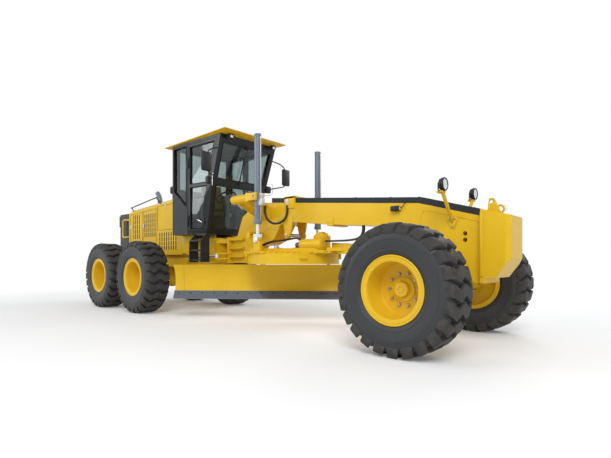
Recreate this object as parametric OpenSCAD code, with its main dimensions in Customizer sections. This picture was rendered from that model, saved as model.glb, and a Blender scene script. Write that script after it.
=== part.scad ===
// Motor grader: articulated frame, tandem rear drive, leaning steered front wheels
// X points forward, Y to the left, Z up; the origin is on the ground under the middle of the machine

/* [Overall] */
// Length from the rear hitch to the front push block
overall_l = 8970; // [8800:10:9200]
// Front axle to the front of the push block
front_overhang = 805; // [760:5:850]
// Front axle to the middle of the tandem
wheelbase = 6260; // [6200:10:6320]
// Spacing of the two wheels of a tandem
tandem_pitch = 1538; // [1500:1:1600]
// Spacing of the left and right tyre centre planes
tread = 2155; // [2120:5:2200]
// Vertical pivot between the two frames
pivot_x = -430; // [-450:5:-420]
// Pivot to the front axle
pivot_reach = 4110; // [4090:5:4130]

/* [Wheels] */
// Tyre diameter over the lugs
tyre_d = 1350; // [1330:2:1370]
// Tyre section width
tyre_w = 445; // [430:1:450]
// Depth of the tread grooves
lug_depth = 34; // [20:1:45]
// Lugs around each tyre
lug_count = 24; // [20:4:28]
// Rim diameter at the bead seat
rim_d = 635; // [620:1:640]
// Rim width between the flanges
rim_w = 360; // [340:2:370]
// Height of the rim flange
flange_h = 38; // [30:1:45]

/* [Front axle] */
// Kingpin and lean pivot from the centre line
kingpin_y = 760; // [745:5:770]
// Length of the steering arm
steer_arm = 220; // [200:5:240]
// Lean link above the wheel centre
lean_arm = 230; // [220:1:240]

/* [Blade] */
// Length of the blade
blade_l = 3965; // [3600:5:3980]
// Radius of the blade's hollow face
blade_r = 440; // [430:1:460]
// Thickness of the blade plate
blade_t = 20; // [16:1:22]
// Angle between the blade and the X axis
blade_angle = 38; // [36:0.5:40]
// Side shift of the blade toward its right end
blade_offset = 40; // [0:5:80]
// Circle centre, ahead of the origin
circle_x = 1140; // [1120:5:1150]
// Outer radius of the circle
circle_r = 740; // [720:5:745]
// Teeth inside the circle
circle_teeth = 60; // [48:4:72]

/* [Cab] */
// Height of the cab sill
sill_z = 1460; // [1450:5:1470]
// Height of the eaves, under the roof
eaves_z = 3130; // [3100:5:3160]
// Half width at the door hinges
cab_half = 690; // [670:5:700]
// Rear wall of the cab
cab_rear_x = -1380; // [-1400:5:-1360]
// Thickness of the walls and doors
wall = 60; // [50:1:70]
// Gap around a door
door_gap = 6; // [5:1:8]

/* [Hood] */
// Half width of the engine hood
hood_half = 460; // [440:5:480]
// Height of the hood top at its front
hood_front_z = 2265; // [2230:5:2290]
// Height of the hood top at its rear
hood_rear_z = 2140; // [2110:5:2160]
// Thickness of the hood panels
panel = 25; // [15:1:30]

/* [Clearances] */
// Running clearance of a pin in its bore
pin_fit = 0.05; // [0.02:0.01:0.08]
// Clearance of a rod in its gland and of a wheel on its spindle
slide_fit = 0.4; // [0.3:0.05:0.6]
// Clearance between a fork and the eye in it
fork_gap = 5; // [5:1:8]

/* [Hidden] */
$fn = 64;
eps = 1;
right = -1;
left = 1;
front_axle_x = pivot_x + pivot_reach;
nose_x = front_axle_x + front_overhang;
tail_x = nose_x - overall_l;
tandem_x = front_axle_x - wheelbase;
rear_wheel_x = [tandem_x + tandem_pitch/2, tandem_x - tandem_pitch/2];
wheel_y = tread/2;
tyre_r = tyre_d/2;
axle_z = tyre_r;
groove_r = tyre_r - lug_depth;
bead_r = rim_d/2;
bead_half = rim_w/2 - slide_fit;
spindle_r = 70;

paint = "#f0b400";
dark = "#2b2d30";
slate = "#5d666e";
chrome = "#d8dadd";
rubber = "#1c1c1d";
tinted = [0.35, 0.42, 0.45, 0.5];

// A straight round bar from p to q
module bar(p, q, r) {
    v = q - p;
    translate(p) rotate([0, acos(v[2]/norm(v)), atan2(v[1], v[0])]) cylinder(h = norm(v), r = r);
}

// An outline in X and Z, extruded from y0 to y1
module side_slab(points, y0, y1) {
    translate([0, y1, 0]) rotate([90, 0, 0]) linear_extrude(y1 - y0) polygon(points);
}

// An outline in Y and Z, extruded from x0 to x1
module front_slab(points, x0, x1) {
    translate([x0, 0, 0]) rotate([90, 0, 90]) linear_extrude(x1 - x0) polygon(points);
}

// A box given by its two corners
module span(p, q) {
    translate(p) cube(q - p);
}

// The right-hand shape as it is, or mirrored to the left
module on_side(side) {
    if (side == left) mirror([0, 1, 0]) children();
    else children();
}

module both_sides() {
    on_side(right) children();
    on_side(left) children();
}

// A closed solid through rings of points that turn the same way
module loft(rings) {
    n = len(rings[0]);
    last = len(rings) - 1;
    polyhedron(
        points = [for (ring = rings) each ring],
        faces = concat(
            [[for (i = [0:n - 1]) i]],
            [[for (i = [n - 1:-1:0]) last*n + i]],
            [for (k = [0:last - 1], i = [0:n - 1], upper = [false, true])
                let (a = k*n + i, b = k*n + (i + 1) % n)
                upper ? [a, a + n, b + n] : [a, b + n, b]]));
}

function rect_ring(x0, x1, half, z) = [[x0, -half, z], [x1, -half, z], [x1, half, z], [x0, half, z]];

// Tyre
lug_half = 50;
lug_zigzag = 24;
shoulder_in = 26;
function sidewall(side) = [for (i = [0:3]) let (t = i/3)
    [bead_r + flange_h + 4 + t*(tyre_r - 95 - bead_r - flange_h - 4),
     side*(bead_half + 12 + (tyre_w/2 - bead_half - 12)*sin(150*t))]];
function zigzag(side) = [for (k = [0:4])
    [(k/4 - 0.5)*tyre_w, (k % 2 == 0 ? -lug_zigzag : lug_zigzag) + side*lug_half]];
function reversed(list) = [for (i = [len(list) - 1:-1:0]) list[i]];

module lug() {
    intersection() {
        rotate([0, 90, 0]) translate([0, 0, tyre_r - 150]) linear_extrude(170)
            polygon(concat(zigzag(1), reversed(zigzag(-1))));
        translate([0, 100, 0]) rotate([90, 0, 0]) linear_extrude(200)
            polygon([for (side = [-1, 1]) each let (
                edge = [[tyre_r - 110, tyre_w/2 - 8], [tyre_r - 70, tyre_w/2 - 4],
                        [tyre_r - 28, tyre_w/2 - 18], [tyre_r, tyre_w/2 - 70]],
                row = [for (p = edge) [p[0], side*p[1]]])
                side < 0 ? row : reversed(row)]);
    }
}

module tyre() {
    color(rubber) rotate([90, 0, 0]) {
        rotate_extrude() polygon(concat(
            [[bead_r + slide_fit, -bead_half], [bead_r + flange_h + 2, -bead_half]], sidewall(-1),
            [[tyre_r - 60, -tyre_w/2 + shoulder_in], [groove_r, -tyre_w/2 + 62],
             [groove_r, tyre_w/2 - 62], [tyre_r - 60, tyre_w/2 - shoulder_in]],
            reversed(sidewall(1)), [[bead_r + flange_h + 2, bead_half], [bead_r + slide_fit, bead_half]]));
        for (i = [0:lug_count - 1]) rotate([0, 0, i*360/lug_count]) lug();
    }
}

// Rim with its outer face toward -Y, its disc set in toward the machine
disc_set = 100;
disc_t = 22;
hub_r = 125;
barrel_t = 14;
flange_t = 15;
module rim(cap_l) {
    color(paint) rotate([90, 0, 0]) difference() {
        rotate_extrude() polygon([
            [0, -disc_set - 40], [hub_r, -disc_set - 40], [hub_r, -disc_set],
            [bead_r - barrel_t - 40, -disc_set], [bead_r - barrel_t, -disc_set - 30],
            [bead_r - barrel_t, -rim_w/2 - flange_t], [bead_r + flange_h, -rim_w/2 - flange_t],
            [bead_r + flange_h, -rim_w/2], [bead_r, -rim_w/2], [bead_r, rim_w/2],
            [bead_r + flange_h, rim_w/2], [bead_r + flange_h, rim_w/2 + flange_t],
            [bead_r - barrel_t, rim_w/2 + flange_t], [bead_r - barrel_t, -disc_set + 60],
            [bead_r - barrel_t - 60, -disc_set + disc_t], [hub_r, -disc_set + disc_t],
            [hub_r - 10, -disc_set + disc_t + 24], [80, -disc_set + disc_t + 24],
            [74, -disc_set + disc_t + 24 + cap_l], [0, -disc_set + disc_t + 24 + cap_l]]);
        translate([0, 0, -disc_set - 41]) cylinder(h = 61, r = spindle_r);
    }
}

module wheel_at(x, side) {
    translate([x, side*wheel_y, axle_z]) on_side(side) children();
}

// Rear frame
rail_y = [300, 370];
rail_z = [860, 1100];
deck_z = 1120;
box_half = 330;
box_rear_x = -1420;
box_front_x = -560;
belly_z = 940;
frame_top_z = 1400;
ear_r = 120;
ear_z = [[960, 1020], [1300, 1360]];
pivot_pin_r = 60;
cab_pad_r = 55;
hitch_ear_z = [[790, 830], [900, 940]];
hitch_pin_r = 30;
hitch_reach = 80;
steer_rear = [-1250, 400, 1064];
steer_pin_r = 25;
eye_half = 30;
eye_plate = 22;
axle_tube_r = 150;
guard_rear_x = tail_x + 295;
bumper_x = tail_x + 155;
module rear_frame() {
    color(paint) difference() {
        union() {
            both_sides() span([guard_rear_x - 60, -rail_y[1], rail_z[0]],
                              [box_rear_x + eps, -rail_y[0], rail_z[1]]);
            span([guard_rear_x - 60, -hood_half, rail_z[1]], [box_rear_x + eps, hood_half, deck_z]);
            side_slab([[box_rear_x, rail_z[0]], [-950, belly_z], [box_front_x, belly_z],
                       [box_front_x, frame_top_z], [box_rear_x, frame_top_z]], -box_half, box_half);
            for (z = ear_z) translate([0, 0, z[0]]) linear_extrude(z[1] - z[0]) {
                translate([pivot_x, 0]) circle(ear_r);
                polygon([[box_front_x - eps, -260], [pivot_x, -ear_r], [pivot_x, ear_r],
                         [box_front_x - eps, 260]]);
            }
            for (x = [-1280, -660]) both_sides()
                translate([x, -box_half + cab_pad_r, frame_top_z - eps])
                    cylinder(h = sill_z - frame_top_z + eps, r = cab_pad_r);
            span([bumper_x, -480, 740], [guard_rear_x - 60 + eps, 480, deck_z]);
            for (z = hitch_ear_z) translate([0, 0, z[0]]) linear_extrude(z[1] - z[0]) {
                translate([tail_x + hitch_reach, 0]) circle(hitch_reach);
                polygon([[bumper_x + eps, -130], [tail_x + hitch_reach, -hitch_reach],
                         [tail_x + hitch_reach, hitch_reach], [bumper_x + eps, 130]]);
            }
            both_sides() {
                span([tandem_x - 190, -rail_y[1], axle_z + 60], [tandem_x + 190, -rail_y[0], rail_z[0] + eps]);
                for (s = [-1, 1]) translate([0, 0, steer_rear[2] + s*(eye_half + fork_gap + eye_plate/2)])
                    span([steer_rear[0] - 60, -steer_rear[1] - 60, -eye_plate/2],
                         [steer_rear[0] + 60, -box_half + eps, eye_plate/2]);
                translate([steer_rear[0], -steer_rear[1], steer_rear[2] - eye_half - fork_gap - eye_plate])
                    cylinder(h = 2*(eye_half + fork_gap + eye_plate), r = steer_pin_r);
            }
        }
        translate([pivot_x, 0, 0]) cylinder(h = 2000, r = pivot_pin_r + pin_fit);
        translate([tail_x + hitch_reach, 0, 0]) cylinder(h = 2000, r = hitch_pin_r);
        translate([tandem_x, 0, axle_z]) rotate([90, 0, 0])
            cylinder(h = 2*hood_half, r = axle_tube_r + slide_fit, center = true);
        span([box_rear_x + 60, -box_half + 40, belly_z + 40], [box_front_x - 60, box_half - 40, frame_top_z - 40]);
    }
}

// Tandem cases with the axle between them and a spindle for each wheel
case_y = [655, 825];
case_end_r = 165;
case_mid_r = 215;
module tandem_axle() {
    color(paint) {
        both_sides() {
            translate([tandem_x, -case_y[0], axle_z]) rotate([90, 0, 0]) linear_extrude(case_y[1] - case_y[0]) {
                circle(case_mid_r);
                for (s = [-1, 1]) {
                    translate([s*tandem_pitch/2, 0]) circle(case_end_r);
                    polygon([[0, -case_mid_r], [s*tandem_pitch/2, -case_end_r],
                             [s*tandem_pitch/2, case_end_r], [0, case_mid_r]]);
                }
            }
            for (x = rear_wheel_x) translate([x, -case_y[1] + eps, axle_z]) rotate([90, 0, 0]) {
                cylinder(h = 70, r = 160);
                cylinder(h = wheel_y - case_y[1] - disc_set + 15, r = spindle_r - slide_fit);
            }
        }
        translate([tandem_x, 0, axle_z]) rotate([90, 0, 0])
            cylinder(h = 2*case_y[0] + 2*eps, r = axle_tube_r, center = true);
        translate([tandem_x, 0, axle_z]) sphere(r = 255);
    }
}

// Hood with chamfered top edges and louvre slots
hood_x = [guard_rear_x + 517, -1425];
function along_hood(share) = hood_x[0] + share*(hood_x[1] - hood_x[0]);
chamfer = 80;
slot_groups = [[0.104, 0.219, 4, 1480, 2010], [0.335, 0.531, 6, 1500, 1990], [0.62, 0.9, 8, 1210, 1560]];
slot_w = 26;
function hood_ring(x, top, inset, base) = [
    [x, -hood_half + inset, base], [x, hood_half - inset, base], [x, hood_half - inset, top - chamfer - inset*0.5],
    [x, hood_half - chamfer - inset*0.5, top - inset], [x, -hood_half + chamfer + inset*0.5, top - inset],
    [x, -hood_half + inset, top - chamfer - inset*0.5]];
module hood() {
    color(paint) difference() {
        loft([hood_ring(hood_x[0], hood_rear_z, 0, deck_z), hood_ring(hood_x[1], hood_front_z, 0, deck_z)]);
        loft([hood_ring(hood_x[0] + panel, hood_rear_z, panel, deck_z - eps),
              hood_ring(hood_x[1] - panel, hood_front_z, panel, deck_z - eps)]);
        for (g = slot_groups, i = [0:g[2] - 1])
            translate([along_hood(g[0] + i*(g[1] - g[0])/(g[2] - 1)) - slot_w/2, -hood_half - eps, g[3]])
                cube([slot_w, 2*hood_half + 2*eps, g[4] - g[3]]);
    }
}

// Radiator guard: a box with slats across its open rear
guard_half = 430;
guard_top_z = 2080;
guard_slats = 9;
module radiator_guard() {
    color(dark) {
        difference() {
            span([guard_rear_x, -guard_half, deck_z], [hood_x[0] - 8, guard_half, guard_top_z]);
            span([guard_rear_x - eps, -guard_half + 50, deck_z + 50], [hood_x[0] - 40, guard_half - 50, guard_top_z - 50]);
        }
        for (i = [0:guard_slats - 1])
            translate([guard_rear_x + 20, -guard_half + 49, deck_z + 110 + i*(guard_top_z - deck_z - 230)/(guard_slats - 1)])
                cube([60, 2*guard_half - 98, 22]);
    }
}

engine_x = [along_hood(0.13), along_hood(0.633)];
engine_half = 320;
engine_top_z = hood_rear_z - 240;
module engine() {
    color(slate) span([engine_x[0], -engine_half, deck_z], [engine_x[1], engine_half, engine_top_z]);
}

// Hood top at x
function hood_top(x) = hood_rear_z + (x - hood_x[0])*(hood_front_z - hood_rear_z)/(hood_x[1] - hood_x[0]);

// Bent exhaust pipe and the air precleaner, standing on the sloping hood
exhaust = [along_hood(0.455), -250];
exhaust_r = 55;
precleaner = [along_hood(0.735), -270];
module stacks() {
    color(dark) {
        translate([exhaust[0], exhaust[1], hood_top(exhaust[0] + exhaust_r)]) {
            cylinder(h = 170, r = exhaust_r);
            translate([0, 0, 170]) sphere(r = exhaust_r);
            bar([0, 0, 170], [-130, 0, 260], exhaust_r);
        }
        translate([precleaner[0], precleaner[1], hood_top(precleaner[0] + 45)]) {
            cylinder(h = 110, r = 45);
            translate([0, 0, 100]) cylinder(h = 110, r = 88);
        }
    }
}

// Rails along the hood top
rail_r = 14;
rail_x = [along_hood(0.05), along_hood(0.548)];
rail_y_top = 350;
rail_h = [70, 100];
module handrails() {
    color(paint) both_sides() {
        bar([rail_x[0], -rail_y_top, hood_top(rail_x[0]) + rail_h[0]],
            [rail_x[1], -rail_y_top, hood_top(rail_x[1]) + rail_h[1]], rail_r);
        for (t = [0.03, 0.5, 0.97])
            let (x = rail_x[0] + t*(rail_x[1] - rail_x[0]), base = hood_top(x + rail_r))
            translate([x, -rail_y_top, base])
                cylinder(h = hood_top(x) + rail_h[0] + t*(rail_h[1] - rail_h[0]) - base, r = rail_r - 2);
    }
}

// Cab: a six-sided shell whose front leans forward and narrows toward the sill
kink = 0.539;
mid_z = sill_z + kink*(eaves_z - sill_z);
b_post_x = -880;
a_post = [[sill_z, -500, 530], [mid_z, -203, 622], [eaves_z, 57, 639]];
floor_z = sill_z + 40;
function a_x(z) = z < mid_z
    ? a_post[0][1] + (z - sill_z)*(a_post[1][1] - a_post[0][1])/(mid_z - sill_z)
    : a_post[1][1] + (z - mid_z)*(a_post[2][1] - a_post[1][1])/(eaves_z - mid_z);
function a_y(z) = z < mid_z
    ? a_post[0][2] + (z - sill_z)*(a_post[1][2] - a_post[0][2])/(mid_z - sill_z)
    : a_post[1][2] + (z - mid_z)*(a_post[2][2] - a_post[1][2])/(eaves_z - mid_z);
function cab_ring(z, inset) = [
    [cab_rear_x + inset, -cab_half + inset, z], [b_post_x, -cab_half + inset, z],
    [a_x(z) - inset, -a_y(z) + inset, z], [a_x(z) - inset, a_y(z) - inset, z],
    [b_post_x, cab_half - inset, z], [cab_rear_x + inset, cab_half - inset, z]];
module cab_solid(inset, z0, z1) {
    loft([cab_ring(z0, inset), cab_ring(mid_z, inset), cab_ring(z1, inset)]);
}
module cab_shell() {
    difference() {
        cab_solid(0, sill_z, eaves_z);
        cab_solid(wall, floor_z, eaves_z + eps);
    }
}

door_top_z = eaves_z - 50;
door_base_z = sill_z + 45;
window_top_z = eaves_z - 60;
screen_top_z = eaves_z - 130;
a_post_w = 80;
door_rear_x = -850;
// The door's front edge slants inward, so that it swings out past the A-post
front_slant = [0.75, 0.28, 0.2];
function slant_at(z) = z < mid_z
    ? front_slant[0] + (z - sill_z)*(front_slant[1] - front_slant[0])/(mid_z - sill_z)
    : front_slant[1] + (z - mid_z)*(front_slant[2] - front_slant[1])/(eaves_z - mid_z);
function door_front(y, z, grow) = a_x(z) - a_post_w + grow - slant_at(z)*(y + a_y(z));
function door_ring(y, z0, z1, grow) = concat(
    [[door_rear_x - grow, y, z0], [door_rear_x - grow, y, z1], [door_front(y, z1, grow), y, z1]],
    z0 < mid_z && mid_z < z1 ? [[door_front(y, mid_z, grow), y, mid_z]] : [],
    [[door_front(y, z0, grow), y, z0]]);
module door_part(z0, z1, grow) {
    loft([door_ring(-cab_half - 60, z0, z1, grow), door_ring(-400, z0, z1, grow)]);
}
module door_zone(grow) {
    door_part(door_base_z - grow, door_top_z + grow, grow);
}
sash = 50;
cross_bar = 60;
module door_panes() {
    door_part(door_base_z + sash, mid_z - cross_bar, -sash);
    door_part(mid_z, door_top_z - sash, -sash);
}
quarter_edge = [50, 30];
quarter_window = [[cab_rear_x + quarter_edge[0], mid_z - 80], [b_post_x - quarter_edge[1], mid_z - 400],
                  [b_post_x - quarter_edge[1], window_top_z], [cab_rear_x + quarter_edge[0], window_top_z]];
module quarter_zone() {
    side_slab(quarter_window, -cab_half - 60, -cab_half + 2*wall);
}
screen_edge = 87;
module windscreen_zone() {
    upper = a_y(mid_z) - screen_edge;
    lower = a_y(sill_z) - screen_edge;
    front_slab([[-upper, mid_z + cross_bar], [upper, mid_z + cross_bar], [upper + 15, screen_top_z],
                [-upper - 15, screen_top_z]], -400, 200);
    front_slab([[-lower, sill_z + 90], [lower, sill_z + 90], [upper - 10, mid_z - cross_bar],
                [-upper + 10, mid_z - cross_bar]], -700, 0);
}
module rear_window_zone() {
    half = cab_half - 130;
    front_slab([[-half, mid_z - 20], [half, mid_z - 20], [half, window_top_z], [-half, window_top_z]], cab_rear_x - eps, cab_rear_x + 2*wall);
}

hinge_r = 18;
hinge_y = -cab_half - 8;
hinge_x = door_rear_x - door_gap/2;
hinge_z = [sill_z + 240, eaves_z - 380];
hinge_l = 90;
module hinge_barrels(shift) {
    for (z = hinge_z) translate([hinge_x, hinge_y, z + shift]) cylinder(h = hinge_l, r = hinge_r);
}
module cab_frame() {
    color(dark) {
        difference() {
            cab_shell();
            both_sides() {
                door_zone(door_gap);
                quarter_zone();
            }
            windscreen_zone();
            rear_window_zone();
            both_sides() translate([hinge_x, hinge_y, sill_z]) cylinder(h = 1800, r = hinge_r + 4);
        }
        both_sides() {
            hinge_barrels(-hinge_l - slide_fit);
            for (z = hinge_z)
                span([hinge_x - 60, -cab_half - 6, z - hinge_l - 1], [hinge_x - 8, -cab_half + 2, z - 1]);
        }
    }
}

module door(side) {
    color(dark) on_side(side) {
        difference() {
            intersection() {
                cab_shell();
                door_zone(0);
            }
            door_panes();
            translate([hinge_x, hinge_y, sill_z]) cylinder(h = 1800, r = hinge_r + 4);
        }
        hinge_barrels(0);
        for (z = hinge_z) span([hinge_x + 8, -cab_half - 6, z], [hinge_x + sash - 8, -cab_half + 14, z + hinge_l]);
    }
}

glass_in = 26;
glass_t = 8;
module glass_shell() {
    difference() {
        cab_solid(glass_in, floor_z, eaves_z - 10);
        cab_solid(glass_in + glass_t, floor_z - eps, eaves_z);
    }
}
module door_glass(side) {
    color(tinted) on_side(side) intersection() {
        glass_shell();
        door_panes();
    }
}
module cab_glass() {
    color(tinted) intersection() {
        glass_shell();
        union() {
            both_sides() quarter_zone();
            windscreen_zone();
            rear_window_zone();
        }
    }
}

roof_rear_x = cab_rear_x - 260;
roof_front_x = a_x(eaves_z) + 213;
roof_half = cab_half + 23;
module cab_roof() {
    color(paint) loft([
        rect_ring(roof_rear_x + 95, roof_front_x - 95, roof_half - 63, eaves_z),
        rect_ring(roof_rear_x, roof_front_x, roof_half, eaves_z + 25),
        rect_ring(roof_rear_x + 30, roof_front_x - 30, roof_half - 23, eaves_z + 48),
        rect_ring(roof_rear_x + 190, roof_front_x - 210, roof_half - 193, eaves_z + 75)]);
}

seat_x = [-1110, -720];
seat_half = 250;
seat_z = [floor_z + 330, floor_z + 450];
seat_back_t = 110;
seat_back_h = 620;
module seat() {
    color("#a9824e") {
        span([seat_x[0], -seat_half, seat_z[0]], [seat_x[1], seat_half, seat_z[1]]);
        translate([seat_x[0] + 20, -seat_half + 10, seat_z[1] - 10]) rotate([0, -8, 0])
            cube([seat_back_t, 2*seat_half - 20, seat_back_h]);
        span([seat_x[0] + seat_back_t, -150, floor_z], [seat_x[1] - 20, 150, seat_z[0] + eps]);
    }
}

column_lean = 40;
wheel_rim = [-640, 0, floor_z + 690];
wheel_rim_r = 190;
armrest_z = floor_z + 520;
module console() {
    color(slate) {
        bar([wheel_rim[0] + column_lean, 0, floor_z + 4], [wheel_rim[0], 0, wheel_rim[2] - 20], 55);
        translate(wheel_rim) rotate([0, -25, 0]) {
            rotate_extrude() translate([wheel_rim_r, 0]) polygon([for (i = [0:7]) 16*[cos(45*i + 22.5), sin(45*i + 22.5)]]);
            for (a = [40, 160, 280]) rotate([0, 0, a]) translate([20, -15, -5]) cube([165, 30, 10]);
            translate([0, 0, -40]) cylinder(h = 55, r = 50);
        }
        both_sides() span([seat_x[0] - 10, -470, floor_z], [seat_x[1] - 40, -330, armrest_z]);
    }
}

mirror_at = [48, -920];
mirror_z = [mid_z + 80, mid_z + 405];
module mirrors() {
    color(dark) both_sides() {
        span([mirror_at[0] - 35, mirror_at[1] - 95, mirror_z[0]], [mirror_at[0] + 35, mirror_at[1] + 95, mirror_z[1]]);
        for (z = [[eaves_z - 180, mirror_z[1] - 15], [mid_z, mirror_z[0] + 30]])
            bar([a_x(z[0]) - 40, -a_y(z[0]) - 13.9, z[0]], [mirror_at[0], mirror_at[1], z[1]], 14);
    }
}

module cab_lamps() {
    color(dark) both_sides() {
        span([roof_front_x - 170, -535, eaves_z - 95], [roof_front_x - 100, -440, eaves_z]);
        span([-545, -470, sill_z - 45], [-430, -400, sill_z]);
    }
}

// Steps up to the doors, hung under the sill
step_x = [-650, -310];
step_y = [-790, -610];
step_base_z = 955;
step_plate = 14;
module ladders() {
    color(dark) both_sides() {
        for (x = step_x) front_slab([[step_y[0], step_base_z], [step_y[1], step_base_z], [step_y[1], sill_z],
                                     [step_y[1] - 60, sill_z], [step_y[0], sill_z - 140]],
                                    x - step_plate/2, x + step_plate/2);
        for (z = [step_base_z + 20, step_base_z + 190, step_base_z + 360])
            span([step_x[0] - eps, step_y[0] + 10, z], [step_x[1] + eps, step_y[1] - 20, z + 30]);
        span([step_x[0] - 20, -cab_half + 20, sill_z - 30], [step_x[1] + 20, -490, sill_z]);
    }
}

// Front frame: a gooseneck from the pivot over the blade to the nose
beam_half = 170;
flange_x = [-280, -225];
flange_half = 250;
boss_r = 110;
axle_pin_r = 45;
axle_pin_z = axle_z + 60;
bracket_x = [105, 150];
foot_z = axle_z + 285;
nose_rear_x = nose_x - 305;
nose_low_z = axle_z + 50;
knee_x = front_axle_x - 260;
ball_at = [knee_x, 0, 1080];
ball_r = 70;
steer_front = [-372, 400, 1064];
beam_knee_z = 1676;
function beam_top(x) = x < knee_x ? beam_knee_z + (knee_x - x)*0.0969 : beam_knee_z - (x - knee_x)*0.282;
neck_outline = [
    [-260, belly_z], [-240, frame_top_z], [-82, 1421], [68, 1750], [304, 1880], [600, beam_top(600)],
    [knee_x, beam_top(knee_x)], [nose_rear_x, beam_top(nose_rear_x)], [nose_rear_x, nose_low_z],
    [front_axle_x + 420, nose_low_z], [front_axle_x + 250, axle_z + 190], [front_axle_x + 170, foot_z],
    [front_axle_x - 180, foot_z], [front_axle_x - 280, foot_z + 220], [front_axle_x - 705, 1426], [2116, 1494],
    [1238, 1590], [1020, 1560], [860, 1330], [640, 1250], [380, 1232], [200, belly_z]];
nose_hole_x = front_axle_x + 306;
nose_hole_z = [1207, 1280];
nose_hole_r = 26;
lock_bar = [560, 1400];
module front_frame() {
    color(paint) difference() {
        union() {
            side_slab(neck_outline, -beam_half, beam_half);
            span([flange_x[0], -flange_half, belly_z], [flange_x[1], flange_half, frame_top_z]);
            for (z = [1040, 1190, 1340])
                span([flange_x[1] - eps, -flange_half + 15, z], [120, flange_half - 15, z + 30]);
            translate([pivot_x, 0, ear_z[0][1] + fork_gap])
                cylinder(h = ear_z[1][0] - ear_z[0][1] - 2*fork_gap, r = boss_r);
            span([pivot_x, -90, ear_z[0][1] + fork_gap], [flange_x[0] + eps, 90, ear_z[1][0] - fork_gap]);
            translate([pivot_x, 0, ear_z[0][0]]) cylinder(h = ear_z[1][1] - ear_z[0][0], r = pivot_pin_r);
            both_sides() for (s = [-1, 1])
                translate([0, 0, steer_front[2] + s*(eye_half + fork_gap + eye_plate/2) - eye_plate/2])
                    linear_extrude(eye_plate) {
                        translate([steer_front[0], -steer_front[1]]) circle(50);
                        polygon([[flange_x[1], -flange_half + 80], [steer_front[0] - 40, -steer_front[1] + 30],
                                 [steer_front[0] + 40, -steer_front[1] - 30], [flange_x[1], -flange_half + 5]]);
                    }
            span([ball_at[0] + 10, -110, ball_at[2] - 110], [ball_at[0] + 130, 110, ball_at[2] + 110]);
            for (s = [-1, 1]) span([front_axle_x + s*bracket_x[s < 0 ? 1 : 0], -140, axle_pin_z - 80],
                                   [front_axle_x + s*bracket_x[s < 0 ? 0 : 1], 140, foot_z + eps]);
            translate([front_axle_x, 0, axle_pin_z]) rotate([0, 90, 0])
                cylinder(h = 2*bracket_x[1] + 40, r = axle_pin_r, center = true);
            difference() {
                span([lock_bar[0] - 35, -470, lock_bar[1] - 50], [lock_bar[0] + 35, 470, lock_bar[1] + 50]);
                for (y = [-420, -350, -280, 280, 350, 420]) translate([lock_bar[0], y, lock_bar[1]])
                    rotate([0, 90, 0]) cylinder(h = 100, r = 22, center = true);
            }
        }
        translate(ball_at) sphere(r = ball_r + slide_fit);
        for (z = nose_hole_z) translate([nose_hole_x, 0, z]) rotate([90, 0, 0])
            cylinder(h = 2*beam_half + 2*eps, r = nose_hole_r, center = true);
    }
}

cover_h = 80;
cover_half = 150;
cover_x = [790, nose_rear_x - 10];
module hose_cover() {
    color(dark) side_slab([
        [cover_x[0], beam_top(cover_x[0])], [knee_x, beam_top(knee_x)], [cover_x[1], beam_top(cover_x[1])],
        [cover_x[1], beam_top(cover_x[1]) + cover_h], [knee_x + 30, beam_top(knee_x) + cover_h - 6],
        [cover_x[0], beam_top(cover_x[0]) + cover_h]], -cover_half, cover_half);
}

// Push block on a flange plate, with a lifting eye on top
block_half = 245;
block_flange = 48;
block_low_z = nose_low_z + 60;
block_top_z = [1538, 1452];
eye_at = [nose_rear_x + 38, 1635];
eye_bore_r = 20;
module counterweight() {
    color(paint) difference() {
        union() {
            side_slab([[nose_rear_x, nose_low_z], [nose_rear_x + block_flange, nose_low_z],
                       [nose_rear_x + block_flange, block_low_z], [nose_x - 150, block_low_z],
                       [nose_x, block_low_z + 210], [nose_x, block_top_z[1]], [nose_rear_x, block_top_z[0]]],
                      -block_half, block_half);
            side_slab([[nose_rear_x + 2, block_top_z[0] - 60], [nose_rear_x + 84, block_top_z[0] - 60],
                       [eye_at[0] + 22, eye_at[1] + 41], [eye_at[0] - 20, eye_at[1] + 41],
                       [nose_rear_x + 2, block_top_z[0] + 40]], -12, 12);
        }
        both_sides() translate([nose_x, -block_half, 600]) rotate([0, 0, 45]) cube([60, 60, 2200], center = true);
        translate([eye_at[0], 0, eye_at[1]]) rotate([90, 0, 0]) cylinder(h = 60, r = eye_bore_r, center = true);
    }
}

lamp_at = [front_axle_x + 165, -450, 1815];
module headlamps() {
    both_sides() {
        color(paint) difference() {
            bar([lamp_at[0] + 5, -150, 1470], [lamp_at[0], lamp_at[1], lamp_at[2] - 60], 24);
            side_slab(neck_outline, -beam_half, beam_half);
            translate(lamp_at) rotate([0, 90, 0]) cylinder(h = 90, r = 85, center = true);
        }
        color(dark) translate(lamp_at) rotate([0, 90, 0]) cylinder(h = 90, r = 85, center = true);
    }
}

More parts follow.
